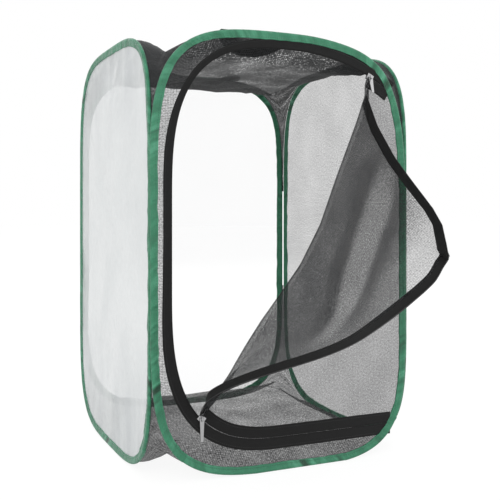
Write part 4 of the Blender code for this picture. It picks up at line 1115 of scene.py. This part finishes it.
def strapGrid(spec):
    # a loop of webbing lying in on the roof, flat at its ends and standing on edge in its middle
    wall = handles["wall"]
    wide = (spec["span"] - handles["width"]) / 2
    roof = covers["roofNetting"].reshape(-1, 3)
    rings, heights, rises = [], [], []
    for angle in np.linspace(0, math.pi, 61):
        run = np.array([wide * math.sin(angle), spec["facing"] * handles["reach"] * math.cos(angle), 0])
        run /= np.linalg.norm(run)
        level = np.array([run[1], -run[0], 0])
        stand = math.radians(handles["stand"]) * float(smooth(math.sin(angle)))
        width = level * math.cos(stand) + np.array([0, 0, math.sin(stand)])
        thick = np.cross(run, width) * handles["thickness"] / 2
        x = spec["shift"] - wide * math.cos(angle)
        y = -spec["facing"] * (wall - handles["reach"] * math.sin(angle))
        under = roof[np.hypot(roof[:, 0] - x, roof[:, 1] - y) < 0.013, 2].max()
        heights.append(min(under, 0.5965) + 0.0007)
        rise = handles["width"] * math.sin(stand) + handles["thickness"] * math.cos(stand)
        rises.append(rise / 2)
        side = width * handles["width"] / 2
        half = [(-1.0, 0.4), (-0.96, 1.0), (-0.5, 1.0), (0.0, 1.0), (0.5, 1.0), (0.96, 1.0), (1.0, 0.4)]
        section = half + [(share, -full) for share, full in reversed(half)]
        rings.append([np.array([x, y, 0]) + side * share + thick * full for share, full in section])
    grid = np.array(rings)
    eased = np.convolve(np.pad(heights, 4, mode="edge"), np.ones(9) / 9, mode="valid")
    grid[..., 2] += (eased + np.array(rises))[:, None]
    return grid


for which in ("front", "back"):
    spec = handles[which]
    grid = strapGrid(spec)
    width = np.array([0, 0.0005, 0.006, 0.0125, 0.019, 0.0245, 0.025])
    width = np.concatenate([width, 0.050 - width[::-1], [0.050]])
    made = tubeMesh(which + "Handle", grid, runOf(grid.mean(1)), width)
    finish(made, spec["node"], "webbing", "black_webbing", spec["node"])
    plane, height, kept = handles["foldTo"]
    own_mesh(made)
print("handles made")


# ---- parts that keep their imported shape
for name in ("upper_slider", "lower_slider", "upper_pull", "lower_pull"):
    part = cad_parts[name]
    part.material_slots[0].material = materials["slider"]
    bevel = part.modifiers.new("edges", "BEVEL")
    bevel.width = 0.0003
    bevel.segments = 2
for side in ("left", "right", "back"):
    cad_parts[side + "_wire_loop"].material_slots[0].material = materials["wire"]


# ---- floor, light and camera
studio = {
    # place, size and power of each lamp
    "key": ((-1.9, -2.6, 2.3), 2.2, 48.0),
    "fill": ((2.6, -1.6, 1.6), 2.4, 20.0),
    "rear": ((0.4, 2.6, 2.2), 2.6, 24.0),
    "aim": (0, 0, 0.3),
    "world": 0.62,
    "floorTone": (0.80, 0.80, 0.80, 1),
    "glow": 1.12,           # the floor's own white and its share of what is seen
    "glowShare": 0.80,
    "eye": (-0.514, -1.174, 0.363),
    "turn": -23.63,
    "lens": 57.5,
    "shift": (0.0385, -0.0892),
}


def shownTo(tree):
    # one for the eye, in gloss and through clear film; nought for the light on other surfaces
    rays = tree.nodes.new("ShaderNodeLightPath")
    found = rays.outputs["Is Camera Ray"]
    for kind in ("Is Glossy Ray", "Is Transmission Ray"):
        either = tree.nodes.new("ShaderNodeMath")
        either.operation = "MAXIMUM"
        tree.links.new(found, either.inputs[0])
        tree.links.new(rays.outputs[kind], either.inputs[1])
        found = either.outputs[0]
    return found


bpy.ops.object.select_all(action="DESELECT")
bpy.ops.mesh.primitive_plane_add(size=24, location=(0, 0, 0))
floor = bpy.context.object
floor.name = "floor"
pale = Recipe("pale floor")
pale.set(Base_Color=studio["floorTone"], Roughness=0.9)
glow = pale.node("ShaderNodeEmission", None, {"Color": (1, 1, 1, 1), "Strength": studio["glow"]})
share = Signal(pale, shownTo(pale.tree)) * studio["glowShare"]
mixed = pale.node("ShaderNodeMixShader", None, {0: share, 1: Signal(pale, pale.shader.outputs[0]), 2: glow})
pale.feed(pale.tree.nodes["Material Output"].inputs["Surface"], mixed)
floor.data.materials.append(pale.material)

world = bpy.data.worlds.new("studio")
bpy.context.scene.world = world
world.use_nodes = True
background = world.node_tree.nodes["Background"]
background.inputs["Color"].default_value = (1, 1, 1, 1)
strength = world.node_tree.nodes.new("ShaderNodeMapRange")
strength.inputs["To Min"].default_value = studio["world"]
world.node_tree.links.new(shownTo(world.node_tree), strength.inputs["Value"])
world.node_tree.links.new(strength.outputs[0], background.inputs["Strength"])

for name in ("key", "fill", "rear"):
    place, size, power = studio[name]
    bpy.ops.object.light_add(type="AREA", location=place)
    lamp = bpy.context.object
    lamp.name = name + "Lamp"
    lamp.data.size = size
    lamp.data.energy = power
    lamp.rotation_euler = (Vector(studio["aim"]) - Vector(place)).to_track_quat("-Z", "Y").to_euler()

bpy.ops.object.camera_add(location=studio["eye"], rotation=(math.radians(90), 0, math.radians(studio["turn"])))
camera = bpy.context.object
camera.data.lens = studio["lens"]
camera.data.sensor_width = 36
camera.data.shift_x, camera.data.shift_y = studio["shift"]
bpy.context.scene.camera = camera
bpy.context.scene.view_settings.view_transform = "Standard"

print("studio ready")
